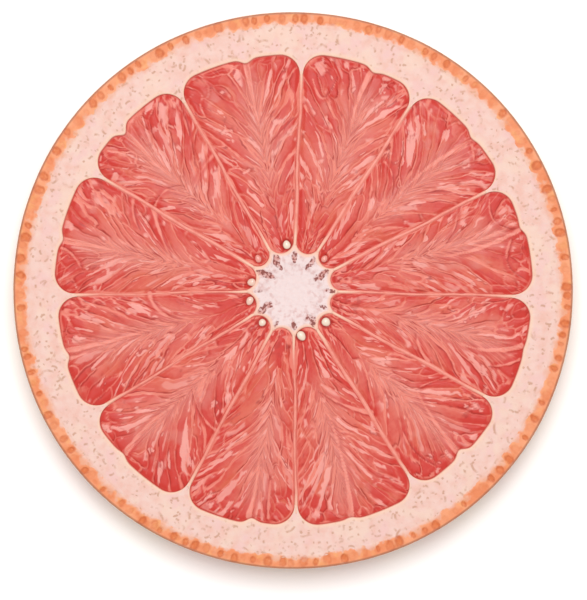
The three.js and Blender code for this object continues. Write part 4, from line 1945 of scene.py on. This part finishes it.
@dataclass
class Seeds:
    """The small seeds in the segments' tips, half sunk in the pulp."""

    plan: SlicePlan
    proud: float = 0.2
    flat: float = 0.62

    def egg(self, seed: Seed) -> Grid:
        """Shape one seed: a sphere's grid stretched along its axis and narrowed towards one end.

        Args:
            seed: The seed's sizes and place.

        Returns:
            The closed grid.
        """
        turn, tip = np.meshgrid(np.linspace(0, 2 * np.pi, 28, endpoint=False), np.linspace(0, np.pi, 19))
        along = np.cos(tip)
        slim = np.sin(tip) * (1 - 0.12 * along)
        local = np.stack([
            seed.length / 2 * along,
            seed.width / 2 * slim * np.cos(turn),
            self.flat * seed.width / 2 * slim * np.sin(turn),
        ], axis=-1)
        angle = math.radians(seed.angle + seed.turn)
        spot = polar(seed.reach, math.radians(seed.angle))
        x = spot[0] + local[..., 0] * math.cos(angle) - local[..., 1] * math.sin(angle)
        y = spot[1] + local[..., 0] * math.sin(angle) + local[..., 1] * math.cos(angle)
        depth = self.plan.thickness + self.proud - self.flat * seed.width / 2
        z = local[..., 2] + depth
        lift = 1 + 0.03 * noise(np.stack([x, y, z], axis=-1), 0.7, 61)
        points = np.stack([x, y, z], axis=-1)
        centre = np.array([*spot, depth])
        points = centre + (points - centre) * lift[..., None]
        for row in (0, -1):
            points[row] = points[row].mean(axis=0)
        return Grid(points, False, True, {"paleness": np.full(turn.shape, seed.paleness)})

    def build(self) -> Piece:
        """Join the seeds in one piece."""
        eggs = [self.egg(seed) for seed in self.plan.seeds]
        return Piece("seeds", eggs, SeedFinish().material(), Slot.SEED)


# ---------------------------------------------------------------- the studio


@dataclass
class Studio:
    """A pale floor, soft light from above and behind, and a camera that looks straight down."""

    outline_width: float = 105.3  # the slice's width as seen, in millimetres
    pixels: tuple[float, float] = (587, 600)
    outline_pixels: float = 559.2
    centre_pixels: tuple[float, float] = (293.1, 290.5)
    camera_height: float = 700.0
    sensor: float = 36.0
    paper: Colour = (0.96, 0.96, 0.96, 1)
    floor_side: float = 2.5  # half the floor's side in metres
    sky: float = 0.70  # how bright the light from all round is

    def camera(self, plane: float) -> None:
        """Place the camera so that the slice has its size and place in the picture.

        Args:
            plane: The height of the shown face in millimetres.
        """
        scale = self.outline_width / self.outline_pixels
        data = bpy.data.cameras.new("camera")
        data.sensor_fit = "VERTICAL"
        data.sensor_height = self.sensor
        data.lens = self.sensor * self.camera_height / (self.pixels[1] * scale)
        data.clip_end = 10.0
        camera = bpy.data.objects.new("camera", data)
        x = (self.pixels[0] / 2 - self.centre_pixels[0]) * scale
        y = (self.centre_pixels[1] - self.pixels[1] / 2) * scale
        camera.location = (x * MM, y * MM, (plane + self.camera_height) * MM)
        bpy.context.scene.collection.objects.link(camera)
        bpy.context.scene.camera = camera

    def area(self, name: str, place: tuple[float, float, float], size: float, power: float) -> None:
        """Hang a square area light that faces the slice.

        Args:
            name: The light's name.
            place: Its place in metres.
            size: Its side in metres.
            power: Its power in watts.
        """
        data = bpy.data.lights.new(name, "AREA")
        data.size = size
        data.energy = power
        light = bpy.data.objects.new(name, data)
        light.location = place
        toward = -light.location
        light.rotation_euler = toward.to_track_quat("-Z", "Y").to_euler()
        bpy.context.scene.collection.objects.link(light)

    def floor(self) -> None:
        """Lay a wide pale floor just under the slice."""
        mesh = bpy.data.meshes.new("floor")
        signs = ((-1, -1), (1, -1), (1, 1), (-1, 1))
        corners = [(self.floor_side * x, self.floor_side * y, -0.05 * MM) for x, y in signs]
        mesh.from_pydata(corners, [], [(0, 1, 2, 3)])
        graph = Graph("pale_floor")
        mesh.materials.append(graph.shade(Base_Color=self.paper, Roughness=0.9, Specular_IOR_Level=0.0))
        floor = bpy.data.objects.new("floor", mesh)
        bpy.context.scene.collection.objects.link(floor)

    def build(self, plane: float) -> None:
        """Set up the floor, the light, the camera and plain colours.

        Args:
            plane: The height of the shown face in millimetres.
        """
        self.floor()
        self.camera(plane)
        self.area("key", (0.0, 0.2, 0.8), 0.34, 4.3)
        world = bpy.data.worlds.new("studio")
        world.use_nodes = True
        sockets = world.node_tree.nodes["Background"].inputs
        sockets["Color"].default_value = (1.0, 1.0, 1.0, 1)
        sockets["Strength"].default_value = self.sky
        scene = bpy.context.scene
        scene.world = world
        scene.view_settings.view_transform = "Standard"
        scene.view_settings.look = "None"


def main() -> None:
    """Build the slice's pieces and the studio in order."""
    logging.basicConfig(level=logging.INFO, format="%(message)s")
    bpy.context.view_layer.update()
    plan = SlicePlan()
    for part in (Rind(plan), Pith(plan), Core(plan), Membranes(plan), Pulp(plan), Seeds(plan)):
        part.build()
    Studio().build(plan.thickness)


if __name__ == "__main__":
    main()
